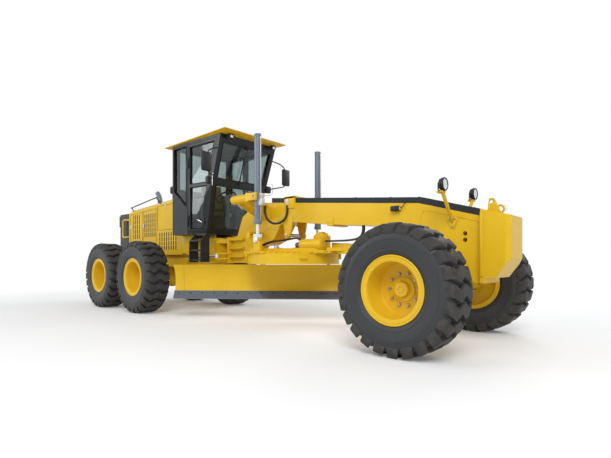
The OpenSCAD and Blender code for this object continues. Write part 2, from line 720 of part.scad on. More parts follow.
// Saddle: side tubes with a fork for each lift cylinder
lift_top = [1060, -697, 1940];
lift_eye_z = 1290;
barrel_r = 52;
trunnion_r = 26;
fork_in = 62;
fork_t = 30;
tube_r = 68;
tube_x = [480, 900];
module saddle() {
    color(paint) both_sides() difference() {
        union() {
            bar([tube_x[0], lift_top[1], lift_top[2]], [tube_x[1], lift_top[1], lift_top[2]], tube_r);
            span([tube_x[1] - 20, lift_top[1] - fork_in - fork_t, lift_top[2] - 65],
                 [tube_x[1] + 30, lift_top[1] + fork_in + fork_t, lift_top[2] + 65]);
            for (s = [-1, 1]) span([tube_x[1] + 29, lift_top[1] + s*(fork_in + fork_t/2) - fork_t/2, lift_top[2] - 55],
                                   [lift_top[0] + 50, lift_top[1] + s*(fork_in + fork_t/2) + fork_t/2, lift_top[2] + 55]);
            for (x = [540, 760]) front_slab([[-beam_half, 1640], [-beam_half, 1850], [lift_top[1] + 20, lift_top[2] + 45],
                                             [lift_top[1] + 20, lift_top[2] - 60]], x, x + 40);
        }
        translate(lift_top) rotate([90, 0, 0]) cylinder(h = 300, r = trunnion_r + pin_fit, center = true);
    }
}

module lift_barrel(side) {
    color(slate) on_side(side) translate([lift_top[0], lift_top[1], 0]) difference() {
        union() {
            translate([0, 0, 1526]) cylinder(h = 1357, r = barrel_r);
            translate([0, 0, 1526]) cylinder(h = 60, r = barrel_r + 6);
            translate([0, 0, lift_top[2]]) rotate([90, 0, 0])
                cylinder(h = 2*(fork_in + fork_t), r = trunnion_r, center = true);
        }
        translate([0, 0, 1525]) cylinder(h = 100, r = lift_rod_r + slide_fit);
        translate([0, 0, 1600]) cylinder(h = 1257, r = barrel_r - 10);
    }
}

lift_rod_r = 27;
piston_z = 2640;
lug_t = 56;
module lift_rod(side) {
    color(chrome) on_side(side) translate([lift_top[0], lift_top[1], 0]) {
        translate([0, 0, lift_eye_z + 75]) cylinder(h = piston_z - lift_eye_z - 75, r = lift_rod_r);
        translate([0, 0, piston_z]) cylinder(h = 60, r = barrel_r - 10 - slide_fit);
        span([-40, -lug_t/2 - fork_gap - 20, lift_eye_z + 60], [40, lug_t/2 + fork_gap + 20, lift_eye_z + 85]);
        for (s = [-1, 1]) {
            span([-40, s*(lug_t/2 + fork_gap + 10) - 10, lift_eye_z - 35],
                 [40, s*(lug_t/2 + fork_gap + 10) + 10, lift_eye_z + 61]);
            translate([0, s*(lug_t/2 + fork_gap + 24), lift_eye_z]) rotate([90, 0, 0])
                cylinder(h = 12, r = 28, center = true);
        }
    }
}

// Cylinders that bend the frame at its pivot
steer_dx = steer_front[0] - steer_rear[0];
articulation_barrel_r = 45;
articulation_rod_r = 24;
module articulation_barrel(side) {
    color(slate) on_side(side) translate([steer_rear[0], -steer_rear[1], steer_rear[2]]) difference() {
        union() {
            cylinder(h = 2*eye_half, r = 45, center = true);
            rotate([0, 90, 0]) cylinder(h = 600, r = articulation_barrel_r);
        }
        cylinder(h = 200, r = steer_pin_r + pin_fit, center = true);
        for (s = [-1, 1]) translate([0, 0, s*(eye_half + 50)]) cube([140, 140, 100], center = true);
        translate([90, 0, 0]) rotate([0, 90, 0]) cylinder(h = 470, r = articulation_barrel_r - 8);
        translate([540, 0, 0]) rotate([0, 90, 0]) cylinder(h = 80, r = articulation_rod_r + slide_fit);
    }
}

module articulation_rod(side) {
    color(chrome) on_side(side) translate([steer_rear[0], -steer_rear[1], steer_rear[2]]) {
        translate([300, 0, 0]) rotate([0, 90, 0]) cylinder(h = steer_dx - 320, r = articulation_rod_r);
        translate([300, 0, 0]) rotate([0, 90, 0]) cylinder(h = 50, r = articulation_barrel_r - 8 - slide_fit);
        translate([steer_dx, 0, 0]) cylinder(h = 2*eye_half, r = 42, center = true);
    }
}

// Front axle beam with a fork at each end
beam_x = 85;
fork_x = [95, 130];
fork_root_y = 640;
fork_end_r = 52;
cross_r = 30;
module front_axle() {
    color(paint) difference() {
        union() {
            front_slab([[-fork_root_y, axle_z - 70], [-300, axle_z - 35], [300, axle_z - 35], [fork_root_y, axle_z - 70],
                        [fork_root_y, axle_z + 70], [300, axle_z + 155], [-300, axle_z + 155], [-fork_root_y, axle_z + 70]],
                       front_axle_x - beam_x, front_axle_x + beam_x);
            both_sides() for (s = [-1, 1]) translate([front_axle_x + s*(fork_x[0] + fork_x[1])/2, 0, axle_z]) {
                front_slab([[-kingpin_y, -fork_end_r], [-fork_root_y + 110, -fork_end_r], [-fork_root_y + 110, fork_end_r],
                            [-kingpin_y, fork_end_r]], -(fork_x[1] - fork_x[0])/2, (fork_x[1] - fork_x[0])/2);
                translate([0, -kingpin_y, 0]) rotate([0, 90, 0])
                    cylinder(h = fork_x[1] - fork_x[0], r = fork_end_r, center = true);
            }
            both_sides() span([front_axle_x - fork_x[1], -fork_root_y, axle_z - 60],
                              [front_axle_x + fork_x[1], -fork_root_y + 110, axle_z + 60]);
        }
        both_sides() translate([front_axle_x, -kingpin_y, axle_z]) rotate([0, 90, 0])
            cylinder(h = 400, r = cross_r + pin_fit, center = true);
        translate([front_axle_x, 0, axle_pin_z]) rotate([0, 90, 0])
            cylinder(h = 400, r = axle_pin_r + slide_fit, center = true);
    }
}

// Cross that carries the kingpin and leans on trunnions along X
knuckle_ear_z = [95, 135];
lean_pin_r = 16;
lean_eye_half = 20;
module lean_cross(side) {
    color(slate) translate([front_axle_x, side*kingpin_y, axle_z]) {
        rotate([0, 90, 0]) cylinder(h = 2*fork_x[1], r = cross_r, center = true);
        cylinder(h = 2*(knuckle_ear_z[0] - fork_gap), r = 55, center = true);
        translate([0, 0, -knuckle_ear_z[1]]) cylinder(h = 2*knuckle_ear_z[1], r = cross_r);
        translate([0, 0, knuckle_ear_z[1] - eps]) cylinder(h = lean_arm - knuckle_ear_z[1] - 46, r = cross_r);
        for (s = [-1, 1]) translate([s*(lean_eye_half + 14), 0, lean_arm]) {
            rotate([0, 90, 0]) cylinder(h = 18, r = 34, center = true);
            span([-9, -25, -60], [9, 25, 0]);
        }
        span([-lean_eye_half - 23, -25, lean_arm - 62], [lean_eye_half + 23, 25, lean_arm - 44]);
        translate([0, 0, lean_arm]) rotate([0, 90, 0])
            cylinder(h = 2*(lean_eye_half + 23), r = lean_pin_r, center = true);
    }
}

module lean_bar() {
    color(slate) translate([front_axle_x, 0, axle_z + lean_arm]) difference() {
        union() {
            both_sides() translate([0, -kingpin_y, 0]) rotate([0, 90, 0])
                cylinder(h = 2*lean_eye_half, r = 34, center = true);
            rotate([90, 0, 0]) cylinder(h = 2*kingpin_y - 50, r = 22, center = true);
        }
        both_sides() translate([0, -kingpin_y, 0]) rotate([0, 90, 0])
            cylinder(h = 100, r = lean_pin_r + pin_fit, center = true);
    }
}

// Steering knuckle: a fork on the kingpin, a spindle and the steering arm
web_y = [140, 165];
tie_ball_r = 28;
tie_ball_z = -190;
stud_r = 13;
module knuckle(side) {
    color(paint) translate([front_axle_x, side*kingpin_y, axle_z]) on_side(side) difference() {
        union() {
            for (s = [-1, 1]) translate([0, 0, s*(knuckle_ear_z[0] + knuckle_ear_z[1])/2 - 20]) linear_extrude(40) {
                circle(60);
                polygon([[-60, 0], [60, 0], [60, -web_y[1]], [-60, -web_y[1]]]);
            }
            span([-60, -web_y[1], -knuckle_ear_z[1]], [60, -web_y[0], knuckle_ear_z[1]]);
            translate([0, -web_y[1] + eps, 0]) rotate([90, 0, 0]) {
                cylinder(h = 8, r = 110);
                cylinder(h = wheel_y - kingpin_y - web_y[1] - disc_set + 15, r = spindle_r - slide_fit);
            }
            translate([0, 0, -knuckle_ear_z[1]]) linear_extrude(40) {
                polygon([[0, -45], [0, 45], [-steer_arm, 30], [-steer_arm, -30]]);
                translate([-steer_arm, 0]) circle(32);
            }
            if (side == left) translate([-steer_arm, 0, tie_ball_z]) {
                sphere(r = tie_ball_r);
                cylinder(h = -tie_ball_z - knuckle_ear_z[0], r = stud_r);
            }
        }
        cylinder(h = 400, r = cross_r + pin_fit, center = true);
        if (side == right) translate([-steer_arm, 0, -knuckle_ear_z[1] - eps]) cylinder(h = 60, r = stud_r + pin_fit);
    }
}

module tie_rod_ball() {
    color(slate) translate([front_axle_x - steer_arm, -kingpin_y, axle_z + tie_ball_z]) {
        sphere(r = tie_ball_r);
        cylinder(h = -tie_ball_z - knuckle_ear_z[0], r = stud_r);
        translate([0, 0, -tie_ball_z - knuckle_ear_z[0] + 1]) cylinder(h = 12, r = 24);
        translate([0, 0, -tie_ball_z - knuckle_ear_z[0] - eps]) cylinder(h = 3, r = stud_r);
    }
}

module tie_rod() {
    color(slate) translate([front_axle_x - steer_arm, 0, axle_z + tie_ball_z]) difference() {
        union() {
            both_sides() translate([0, -kingpin_y, 0]) sphere(r = tie_ball_r + 14);
            rotate([90, 0, 0]) cylinder(h = 2*kingpin_y, r = 22, center = true);
        }
        both_sides() translate([0, -kingpin_y, 0]) {
            sphere(r = tie_ball_r + slide_fit);
            translate([0, 0, 8]) cylinder(h = 60, r = tie_ball_r + 4);
        }
    }
}

// Drawbar: a plate over the circle, two arms and a tongue that ends in the ball
plate_z = [1085, 1115];
plate_x = [circle_x - 380, circle_x + 40, circle_x + 920];
plate_half = [700, 760, 130];
arm_z = 1165;
arm_x = [circle_x - 340, circle_x + 1110];
tongue_x = circle_x + 860;
tongue_z = 1240;
tongue_half = 90;
worm_x = [circle_x + 380, circle_x + 790];
worm_y = -200;
worm_r = 85;
worm_z = plate_z[1] + worm_r + 16;
module drawbar() {
    color(paint) {
        translate([0, 0, plate_z[0]]) linear_extrude(plate_z[1] - plate_z[0])
            polygon([for (s = [-1, 1], i = s < 0 ? [0, 1, 2] : [2, 1, 0]) [plate_x[i], s*plate_half[i]]]);
        difference() {
            both_sides() translate([0, 0, plate_z[1] - eps]) linear_extrude(arm_z - plate_z[1] + eps)
                polygon([[arm_x[0], -640], [arm_x[0] + 100, -640], [arm_x[1], -tongue_half], [arm_x[1], -20],
                         [arm_x[1] - 200, -60], [arm_x[0], -530]]);
            bar([worm_x[0] - 40, worm_y, worm_z], [worm_x[1] + 60, worm_y, worm_z], worm_r + 2);
        }
        side_slab([[tongue_x, plate_z[0]], [tongue_x, tongue_z], [ball_at[0] - 90, ball_at[2] + 70],
                   [ball_at[0] - 90, ball_at[2] - 70]], -tongue_half, tongue_half);
        bar(ball_at - [100, 0, 0], ball_at - [40, 0, 0], 42);
        translate(ball_at) sphere(r = ball_r);
        both_sides() translate([lift_top[0], lift_top[1], plate_z[1] - eps]) {
            span([-70, -lug_t/2, 0], [70, lug_t/2, lift_eye_z - plate_z[1] - 20]);
            translate([0, 0, lift_eye_z - plate_z[1] + eps]) rotate([90, 0, 0])
                cylinder(h = lug_t, r = 42, center = true);
        }
        for (a = [35, 130, 230, 325]) translate([circle_x, 0, 0]) rotate([0, 0, a]) {
            span([circle_r + 0.5, -60, 1000], [circle_r + 30, 60, plate_z[0] + eps]);
            span([circle_r - 180, -60, plate_z[0]], [circle_r + 30, 60, plate_z[1]]);
        }
    }
}

// Worm gearbox that turns the circle: a domed case on the plate with the worm's housing beside it
drive_x = circle_x + 600;
module circle_drive() {
    color(paint) {
        translate([drive_x, 0, plate_z[1]]) {
            cylinder(h = 230, r = 130);
            translate([0, 0, 230]) cylinder(h = 45, r1 = 130, r2 = 90);
            translate([0, 0, 270]) cylinder(h = 25, r = 50);
        }
        bar([worm_x[0], worm_y, worm_z], [worm_x[1], worm_y, worm_z], worm_r);
        bar([worm_x[1] - eps, worm_y, worm_z], [worm_x[1] + 18, worm_y, worm_z], worm_r - 15);
    }
}

// Circle with teeth inside, arms and shoes that carry the blade's rails
circle_z = [925, plate_z[0] - 0.3];
tooth_h = 34;
circle_arm_x = 560;
rail_back = 218;
rail_upper = [765, 815];
rail_lower = [475, 525];
cyl_at = [300, 640];
module in_circle() {
    translate([circle_x, 0, 0]) rotate([0, 0, blade_angle]) children();
}
module circle_ring() {
    inner = circle_r - 90;
    difference() {
        cylinder(h = circle_z[1] - circle_z[0], r = circle_r);
        translate([0, 0, -eps]) linear_extrude(circle_z[1] - circle_z[0] + 2*eps)
            polygon([for (i = [0:circle_teeth - 1], c = [[-0.28, 0], [-0.16, -tooth_h], [0.16, -tooth_h], [0.28, 0]])
                let (a = (i + c[0])*360/circle_teeth) (inner + c[1])*[cos(a), sin(a)]]);
    }
}
module circle_node() {
    color(paint) in_circle() {
        translate([0, 0, circle_z[0]]) circle_ring();
        for (s = [-1, 1]) difference() {
            union() {
                side_arm = [[250, circle_z[0] + eps], [440, circle_z[0] + eps], [440, 870], [360, 470],
                            [rail_back + 8, 470], [rail_back + 8, 870]];
                front_slab(side_arm, s*circle_arm_x - 25, s*circle_arm_x + 25);
                span([s*circle_arm_x - 90, 172, rail_upper[1] + 0.5], [s*circle_arm_x + 90, rail_back + 50, rail_upper[1] + 34]);
                span([s*circle_arm_x - 90, 172, rail_lower[0] - 34], [s*circle_arm_x + 90, rail_back + 50, rail_lower[0] - 0.5]);
            }
            translate([0, cyl_at[0], cyl_at[1]]) rotate([0, 90, 0]) cylinder(h = 2000, r = 24, center = true);
        }
        difference() {
            translate([0, cyl_at[0], cyl_at[1]]) rotate([0, 90, 0]) cylinder(h = 2*circle_arm_x, r = 42, center = true);
            translate([-circle_arm_x + 60, cyl_at[0], cyl_at[1]]) rotate([0, 90, 0]) cylinder(h = 2000, r = 24);
        }
    }
}

// Blade: a hollow-faced plate with two rails behind it
blade_mid_z = 640;
blade_top_z = 915;
blade_low_z = 400;
blade_back = 170;
blade_depth = 400;
face_y = blade_back - blade_r;
function face_at(z) = face_y + sqrt(blade_r*blade_r - (z - blade_mid_z)*(z - blade_mid_z));
module in_blade() {
    in_circle() translate([-blade_offset, 0, 0]) children();
}
module moldboard() {
    color(paint) in_blade() {
        intersection() {
            translate([0, face_y, blade_mid_z]) rotate([0, 90, 0]) difference() {
                cylinder(h = blade_l, r = blade_r + blade_t, center = true, $fn = 128);
                cylinder(h = blade_l + 2*eps, r = blade_r, center = true, $fn = 128);
            }
            span([-blade_l/2, 0, blade_low_z], [blade_l/2, blade_depth, blade_top_z]);
        }
        for (z = [rail_upper, rail_lower]) span([-1250, 160, z[0]], [1250, rail_back, z[1]]);
        span([1150, rail_back - eps, cyl_at[1] - 50], [1190, cyl_at[0] + 45, cyl_at[1] + 50]);
        span([1150, 185, cyl_at[1] - 50], [1190, rail_back + eps, cyl_at[1] + 50]);
        translate([60, cyl_at[0], cyl_at[1]]) rotate([0, 90, 0]) cylinder(h = 1095, r = 23);
    }
}

edge_t = 20;
edge_top_z = 470;
edge_low_z = 345;
module cutting_edge() {
    a = [face_at(blade_low_z), blade_low_z];
    b = [face_at(edge_top_z), edge_top_z];
    along = (b - a)/norm(b - a);
    out = [-along[1], along[0]];
    low = a + along*(edge_low_z - blade_low_z)/along[1];
    color(slate) in_blade() front_slab([low, b, b + edge_t*out, low + edge_t*out], -blade_l/2, blade_l/2);
}

rear_frame();
hood();
radiator_guard();
engine();
stacks();
handrails();
tandem_axle();
cab_frame();
cab_roof();
cab_glass();
seat();
console();
mirrors();
cab_lamps();
ladders();
door(right);  // door_right
door_glass(right);  // door_glass_right
door(left);  // door_left
door_glass(left);  // door_glass_left
wheel_at(rear_wheel_x[0], right) rim(40);  // rim_tandem_right_1
wheel_at(rear_wheel_x[0], right) tyre();  // tyre_tandem_right_1
wheel_at(rear_wheel_x[1], right) rim(40);  // rim_tandem_right_2
wheel_at(rear_wheel_x[1], right) tyre();  // tyre_tandem_right_2
wheel_at(rear_wheel_x[0], left) rim(40);  // rim_tandem_left_1
wheel_at(rear_wheel_x[0], left) tyre();  // tyre_tandem_left_1
wheel_at(rear_wheel_x[1], left) rim(40);  // rim_tandem_left_2
wheel_at(rear_wheel_x[1], left) tyre();  // tyre_tandem_left_2
front_frame();
hose_cover();
counterweight();
headlamps();
saddle();
front_axle();
lean_cross(right);  // lean_cross_right
lean_cross(left);  // lean_cross_left
knuckle(right);  // knuckle_right
knuckle(left);  // knuckle_left
tie_rod_ball();
tie_rod();
lean_bar();
wheel_at(front_axle_x, right) rim(50);  // rim_front_right
wheel_at(front_axle_x, right) tyre();  // tyre_front_right
wheel_at(front_axle_x, left) rim(50);  // rim_front_left
wheel_at(front_axle_x, left) tyre();  // tyre_front_left
drawbar();
circle_drive();
circle_node();  // circle
moldboard();
cutting_edge();
lift_barrel(right);  // lift_barrel_right
lift_rod(right);  // lift_rod_right
lift_barrel(left);  // lift_barrel_left
lift_rod(left);  // lift_rod_left
articulation_barrel(right);  // articulation_barrel_right
articulation_rod(right);  // articulation_rod_right
articulation_barrel(left);  // articulation_barrel_left
articulation_rod(left);  // articulation_rod_left
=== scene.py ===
# Looks of the motor grader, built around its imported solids; metres, X forward, Y left, Z up
import math

import bmesh
import bpy
from mathutils import Matrix, Vector


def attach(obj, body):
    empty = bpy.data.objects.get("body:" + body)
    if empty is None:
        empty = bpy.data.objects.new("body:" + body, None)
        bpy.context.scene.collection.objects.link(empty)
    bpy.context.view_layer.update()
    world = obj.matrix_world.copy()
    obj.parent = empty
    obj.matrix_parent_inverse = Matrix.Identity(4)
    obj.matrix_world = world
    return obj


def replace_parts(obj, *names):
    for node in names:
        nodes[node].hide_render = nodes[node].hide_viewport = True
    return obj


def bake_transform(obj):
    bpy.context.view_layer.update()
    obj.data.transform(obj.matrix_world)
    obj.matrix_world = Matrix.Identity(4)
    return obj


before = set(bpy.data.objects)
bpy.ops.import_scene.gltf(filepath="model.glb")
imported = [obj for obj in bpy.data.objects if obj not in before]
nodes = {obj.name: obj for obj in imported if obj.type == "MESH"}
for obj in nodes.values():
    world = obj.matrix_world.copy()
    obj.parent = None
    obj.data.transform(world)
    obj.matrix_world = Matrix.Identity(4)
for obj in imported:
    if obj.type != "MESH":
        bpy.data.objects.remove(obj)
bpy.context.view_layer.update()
bpy.context.scene.view_settings.view_transform = "Standard"

# Camera at the photograph's place
bpy.ops.object.camera_add(
    location=(5.8145, -4.8862, 0.9559),
    rotation=(math.radians(90), 0, math.radians(42.09)),
)
camera = bpy.context.object
camera.data.sensor_width = 36
camera.data.lens = 24.60
camera.data.shift_y = 0.0541
bpy.context.scene.camera = camera

sides = {"right": -1, "left": 1}
to_front = Matrix.Rotation(-math.pi / 2, 4, "Z")
to_top = Matrix.Rotation(math.pi / 2, 4, "X")


# Modelling
def begin():
    if bpy.context.object and bpy.context.object.mode != "OBJECT":
        bpy.ops.object.mode_set(mode="OBJECT")
    bpy.ops.object.select_all(action="DESELECT")


def settle():
    """The active piece's place goes into its mesh."""
    bpy.ops.object.transform_apply(location=True, rotation=True, scale=True)
    return bpy.context.object


def open_mesh(piece):
    begin()
    piece.select_set(True)
    bpy.context.view_layer.objects.active = piece
    bpy.ops.object.mode_set(mode="EDIT")
    bpy.ops.mesh.select_all(action="DESELECT")


def close_mesh():
    bpy.ops.object.mode_set(mode="OBJECT")
    return bpy.context.object


def pick_faces(test):
    """Selects the faces of the open mesh whose middle and normal pass the test."""
    bpy.ops.mesh.select_mode(type="FACE")
    mesh = bmesh.from_edit_mesh(bpy.context.object.data)
    mesh.normal_update()
    for face in mesh.faces:
        face.select_set(bool(test(face.calc_center_median(), face.normal)))
    mesh.select_flush_mode()
    bmesh.update_edit_mesh(bpy.context.object.data)


def soften(piece, width, segments=2, angle=35):
    bevel = piece.modifiers.new("soften", "BEVEL")
    bevel.width = width
    bevel.segments = segments
    bevel.limit_method = "ANGLE"
    bevel.angle_limit = math.radians(angle)
    begin()
    piece.select_set(True)
    bpy.context.view_layer.objects.active = piece
    bpy.ops.object.modifier_apply(modifier="soften")
    bpy.ops.object.shade_smooth_by_angle(angle=math.radians(40))
    return piece


def block(low, high, edge=0.004):
    begin()
    size = [b - a for a, b in zip(low, high)]
    middle = [(a + b) / 2 for a, b in zip(low, high)]
    bpy.ops.mesh.primitive_cube_add(size=1, location=middle, scale=size)
    return soften(settle(), edge)


def on_side(side, points):
    """Points given for the left, set on the side of that sign."""
    return [(x, side * y, z) for x, y, z in points]


def side_block(side, low, high, edge=0.004):
    """A block given for the left, set on the side of that sign."""
    y = sorted((side * low[1], side * high[1]))
    return block((low[0], y[0], low[2]), (high[0], y[1], high[2]), edge)


def around(count, first=0):
    """The angles of places spread over a full circle, the first one given in degrees."""
    return [math.radians(first + 360 * i / count) for i in range(count)]


def along(direction):
    return Vector(direction).to_track_quat("Z", "Y").to_euler()


def round_bar(start, stop, radius, edge=0.003, sides=24):
    begin()
    start, stop = Vector(start), Vector(stop)
    bpy.ops.mesh.primitive_cylinder_add(
        vertices=sides, radius=radius, depth=(stop - start).length,
        location=(start + stop) / 2, rotation=along(stop - start),
    )
    return soften(settle(), edge)


def trace(points):
    """Leaves an open mesh with one line of edges through the points, its last point selected."""
    begin()
    bpy.ops.mesh.primitive_plane_add(size=0.01, location=points[0])
    settle()
    bpy.ops.object.mode_set(mode="EDIT")
    bpy.ops.mesh.select_mode(type="VERT")
    bpy.ops.mesh.select_all(action="SELECT")
    bpy.ops.mesh.merge(type="CENTER")
    for a, b in zip(points, points[1:]):
        step = [q - p for p, q in zip(a, b)]
        bpy.ops.mesh.extrude_vertices_move(TRANSFORM_OT_translate={"value": step})


def spun(profile, center, axis=(0, 1, 0), steps=64):
    """A turned shape: the profile's points go round the axis through the centre."""
    trace(profile)
    bpy.ops.mesh.select_all(action="SELECT")
    bpy.ops.mesh.spin(steps=steps, angle=2 * math.pi, center=center, axis=axis)
    bpy.ops.mesh.select_all(action="SELECT")
    bpy.ops.mesh.remove_doubles(threshold=0.0002)
    bpy.ops.mesh.normals_make_consistent(inside=False)
    piece = close_mesh()
    bpy.ops.object.shade_smooth_by_angle(angle=math.radians(35))
    return piece


def turned(profile, place, turn, steps=40):
    """A round piece from pairs of radius and height about Y, then turned and set at its place."""
    piece = spun([(r, y, 0) for r, y in profile], (0, 0, 0), steps=steps)
    piece.data.transform(Matrix.Translation(place) @ turn)
    return piece


def swing(piece, pivot, angle):
    """The piece's mesh turned about the line along Y through the pivot."""
    pivot = Vector(pivot)
    turn = Matrix.Rotation(angle, 4, "Y")
    piece.data.transform(Matrix.Translation(pivot) @ turn @ Matrix.Translation(-pivot))


def slab(outline, depth, edge=0.004):
    """A plate: the closed outline's face is pushed out by depth."""
    trace(outline)
    bpy.ops.mesh.select_all(action="SELECT")
    bpy.ops.mesh.edge_face_add()
    bpy.ops.mesh.extrude_region_move(TRANSFORM_OT_translate={"value": depth})
    bpy.ops.mesh.select_all(action="SELECT")
    bpy.ops.mesh.normals_make_consistent(inside=False)
    return soften(close_mesh(), edge)


def smooth_path(points, density=8):
    """Points on a smooth line through the given ones."""
    knots = [Vector(p) for p in points]
    knots = [2 * knots[0] - knots[1], *knots, 2 * knots[-1] - knots[-2]]
    line = []
    for a, b, c, d in zip(knots, knots[1:], knots[2:], knots[3:]):
        for i in range(density):
            t = i / density
            line.append(0.5 * (2 * b + t * (c - a) + t * t * (2 * a - 5 * b + 4 * c - d)
                               + t ** 3 * (3 * b - a - 3 * c + d)))
    return [*line, knots[-2]]


def tube_curve(points, radius, closed=False):
    begin()
    bpy.ops.curve.primitive_bezier_curve_add(location=(0, 0, 0))
    piece = bpy.context.object
    curve = piece.data
    curve.splines.clear()
    line = curve.splines.new("POLY")
    line.points.add(len(points) - 1)
    for knot, place in zip(line.points, points):
        knot.co = (*place, 1)
    line.use_cyclic_u = closed
    line.use_smooth = True
    curve.dimensions = "3D"
    curve.bevel_depth = radius
    curve.bevel_resolution = 3
    curve.use_fill_caps = True
    return piece


def pipe(points, radius, closed=False):
    """A bent steel pipe or a moulded strip along the points."""
    tube_curve(points, radius, closed)
    bpy.ops.object.convert(target="MESH")
    piece = bpy.context.object
    bpy.ops.object.shade_smooth_by_angle(angle=math.radians(50))
    return piece


def copied(piece, turn):
    """A copy with its own mesh, moved by a matrix."""
    twin = bpy.data.objects.new(piece.name, piece.data.copy())
    twin.data.transform(turn)
    bpy.context.scene.collection.objects.link(twin)
    return twin


def joined(pieces):
    begin()
    for piece in pieces:
        piece.select_set(True)
    bpy.context.view_layer.objects.active = pieces[0]
    if len(pieces) > 1:
        bpy.ops.object.join()
    return bpy.context.object


def set_all(seed, places):
    """The seed, modelled at the origin and standing on +Z, copied to each (point, direction)."""
    parts = []
    for place, direction in places:
        turn = along(direction).to_matrix().to_4x4()
        parts.append(copied(seed, Matrix.Translation(Vector(place)) @ turn))
    bpy.data.objects.remove(seed)
    return joined(parts)


def finished(piece, name, finish, body):
    piece.name = name
    piece.data.name = name
    piece.data.materials.clear()
    piece.data.materials.append(finish)
    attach(piece, body)
    return piece


# Shader node groups shared by the finishes
def new_group(name, inputs, outputs):
    group = bpy.data.node_groups.new(name, "ShaderNodeTree")
    for label, kind, value in inputs:
        socket = group.interface.new_socket(name=label, in_out="INPUT", socket_type=kind)
        socket.default_value = value
    for label, kind in outputs:
        group.interface.new_socket(name=label, in_out="OUTPUT", socket_type=kind)
    return group, group.nodes.new("NodeGroupInput"), group.nodes.new("NodeGroupOutput")


def noise(group, place, scale, detail=3.0):
    texture = group.nodes.new("ShaderNodeTexNoise")
    texture.inputs["Scale"].default_value = scale
    texture.inputs["Detail"].default_value = detail
    group.links.new(place, texture.inputs["Vector"])
    return texture.outputs["Fac"]


def ranged(group, value, low, high, to_low, to_high):
    node = group.nodes.new("ShaderNodeMapRange")
    labels = ("From Min", "From Max", "To Min", "To Max")
    for label, number in zip(labels, (low, high, to_low, to_high)):
        node.inputs[label].default_value = number
    group.links.new(value, node.inputs["Value"])
    return node.outputs["Result"]


def mixed(group, share, first, second, mode="MIX"):
    node = group.nodes.new("ShaderNodeMix")
    node.data_type = "RGBA"
    node.blend_type = mode
    for socket, value in ((node.inputs[0], share), (node.inputs[6], first), (node.inputs[7], second)):
        if isinstance(value, bpy.types.NodeSocket):
            group.links.new(value, socket)
        else:
            socket.default_value = value
    return node.outputs[2]


def product(group, first, second):
    node = group.nodes.new("ShaderNodeMath")
    node.operation = "MULTIPLY"
    for socket, value in zip(node.inputs, (first, second)):
        if isinstance(value, bpy.types.NodeSocket):
            group.links.new(value, socket)
        else:
            socket.default_value = value
    return node.outputs[0]


def make_weathering():
    """Tone that drifts over a panel, dust that gathers low down, and a fine skin."""
    group, given, made = new_group(
        "weathering",
        [("Color", "NodeSocketColor", (1, 1, 1, 1)), ("Dust", "NodeSocketColor", (0.3, 0.25, 0.2, 1)),
         ("Dust Amount", "NodeSocketFloat", 0.3), ("Dust Height", "NodeSocketFloat", 1.2),
         ("Drift", "NodeSocketFloat", 0.1), ("Gloss Rough", "NodeSocketFloat", 0.3)],
        [("Color", "NodeSocketColor"), ("Rough", "NodeSocketFloat"), ("Height", "NodeSocketFloat")],
    )
    place = group.nodes.new("ShaderNodeTexCoord").outputs["Object"]
    broad = noise(group, place, 1.7)
    streaks = noise(group, place, 14.0, 5.0)
    fine = noise(group, place, 260.0, 2.0)
    dark = mixed(group, 1.0, given.outputs["Color"], (0.62, 0.6, 0.58, 1), "MULTIPLY")
    tone = mixed(group, product(group, ranged(group, broad, 0.35, 0.7, 0, 1), given.outputs["Drift"]),
                 given.outputs["Color"], dark)
    split = group.nodes.new("ShaderNodeSeparateXYZ")
    group.links.new(place, split.inputs[0])
    lift = group.nodes.new("ShaderNodeMapRange")
    lift.inputs["To Min"].default_value = 1
    lift.inputs["To Max"].default_value = 0
    group.links.new(split.outputs["Z"], lift.inputs["Value"])
    group.links.new(given.outputs["Dust Height"], lift.inputs["From Max"])
    low = product(group, lift.outputs["Result"], ranged(group, streaks, 0.35, 0.75, 0.15, 1))
    dust = product(group, low, given.outputs["Dust Amount"])
    group.links.new(mixed(group, dust, tone, given.outputs["Dust"]), made.inputs["Color"])
    rough = group.nodes.new("ShaderNodeMath")
    rough.operation = "MULTIPLY_ADD"
    group.links.new(streaks, rough.inputs[0])
    rough.inputs[1].default_value = 0.16
    group.links.new(given.outputs["Gloss Rough"], rough.inputs[2])
    group.links.new(rough.outputs[0], made.inputs["Rough"])
    group.links.new(fine, made.inputs["Height"])
    return group


def make_weave():
    """Crossed threads of a seat cover."""
    group, given, made = new_group(
        "weave",
        [("Thread", "NodeSocketColor", (1, 1, 1, 1)), ("Gap", "NodeSocketColor", (0, 0, 0, 1)),
         ("Scale", "NodeSocketFloat", 150.0)],
        [("Color", "NodeSocketColor"), ("Height", "NodeSocketFloat")],
    )
    place = group.nodes.new("ShaderNodeTexCoord").outputs["Object"]
    waves = []
    for direction in ("Y", "Z"):
        wave = group.nodes.new("ShaderNodeTexWave")
        wave.bands_direction = direction
        wave.inputs["Distortion"].default_value = 0.4
        group.links.new(place, wave.inputs["Vector"])
        group.links.new(given.outputs["Scale"], wave.inputs["Scale"])
        waves.append(wave.outputs["Fac"])
    cross = product(group, waves[0], waves[1])
    color = mixed(group, cross, given.outputs["Gap"], given.outputs["Thread"])
    group.links.new(color, made.inputs["Color"])
    group.links.new(cross, made.inputs["Height"])
    return group


weathering = make_weathering()
weave = make_weave()


def plain_finish(name, **sockets):
    finish = bpy.data.materials.new(name)
    finish.use_nodes = True
    shader = finish.node_tree.nodes["Principled BSDF"]
    for label, value in sockets.items():
        shader.inputs[label.replace("_", " ")].default_value = value
    return finish, finish.node_tree, shader


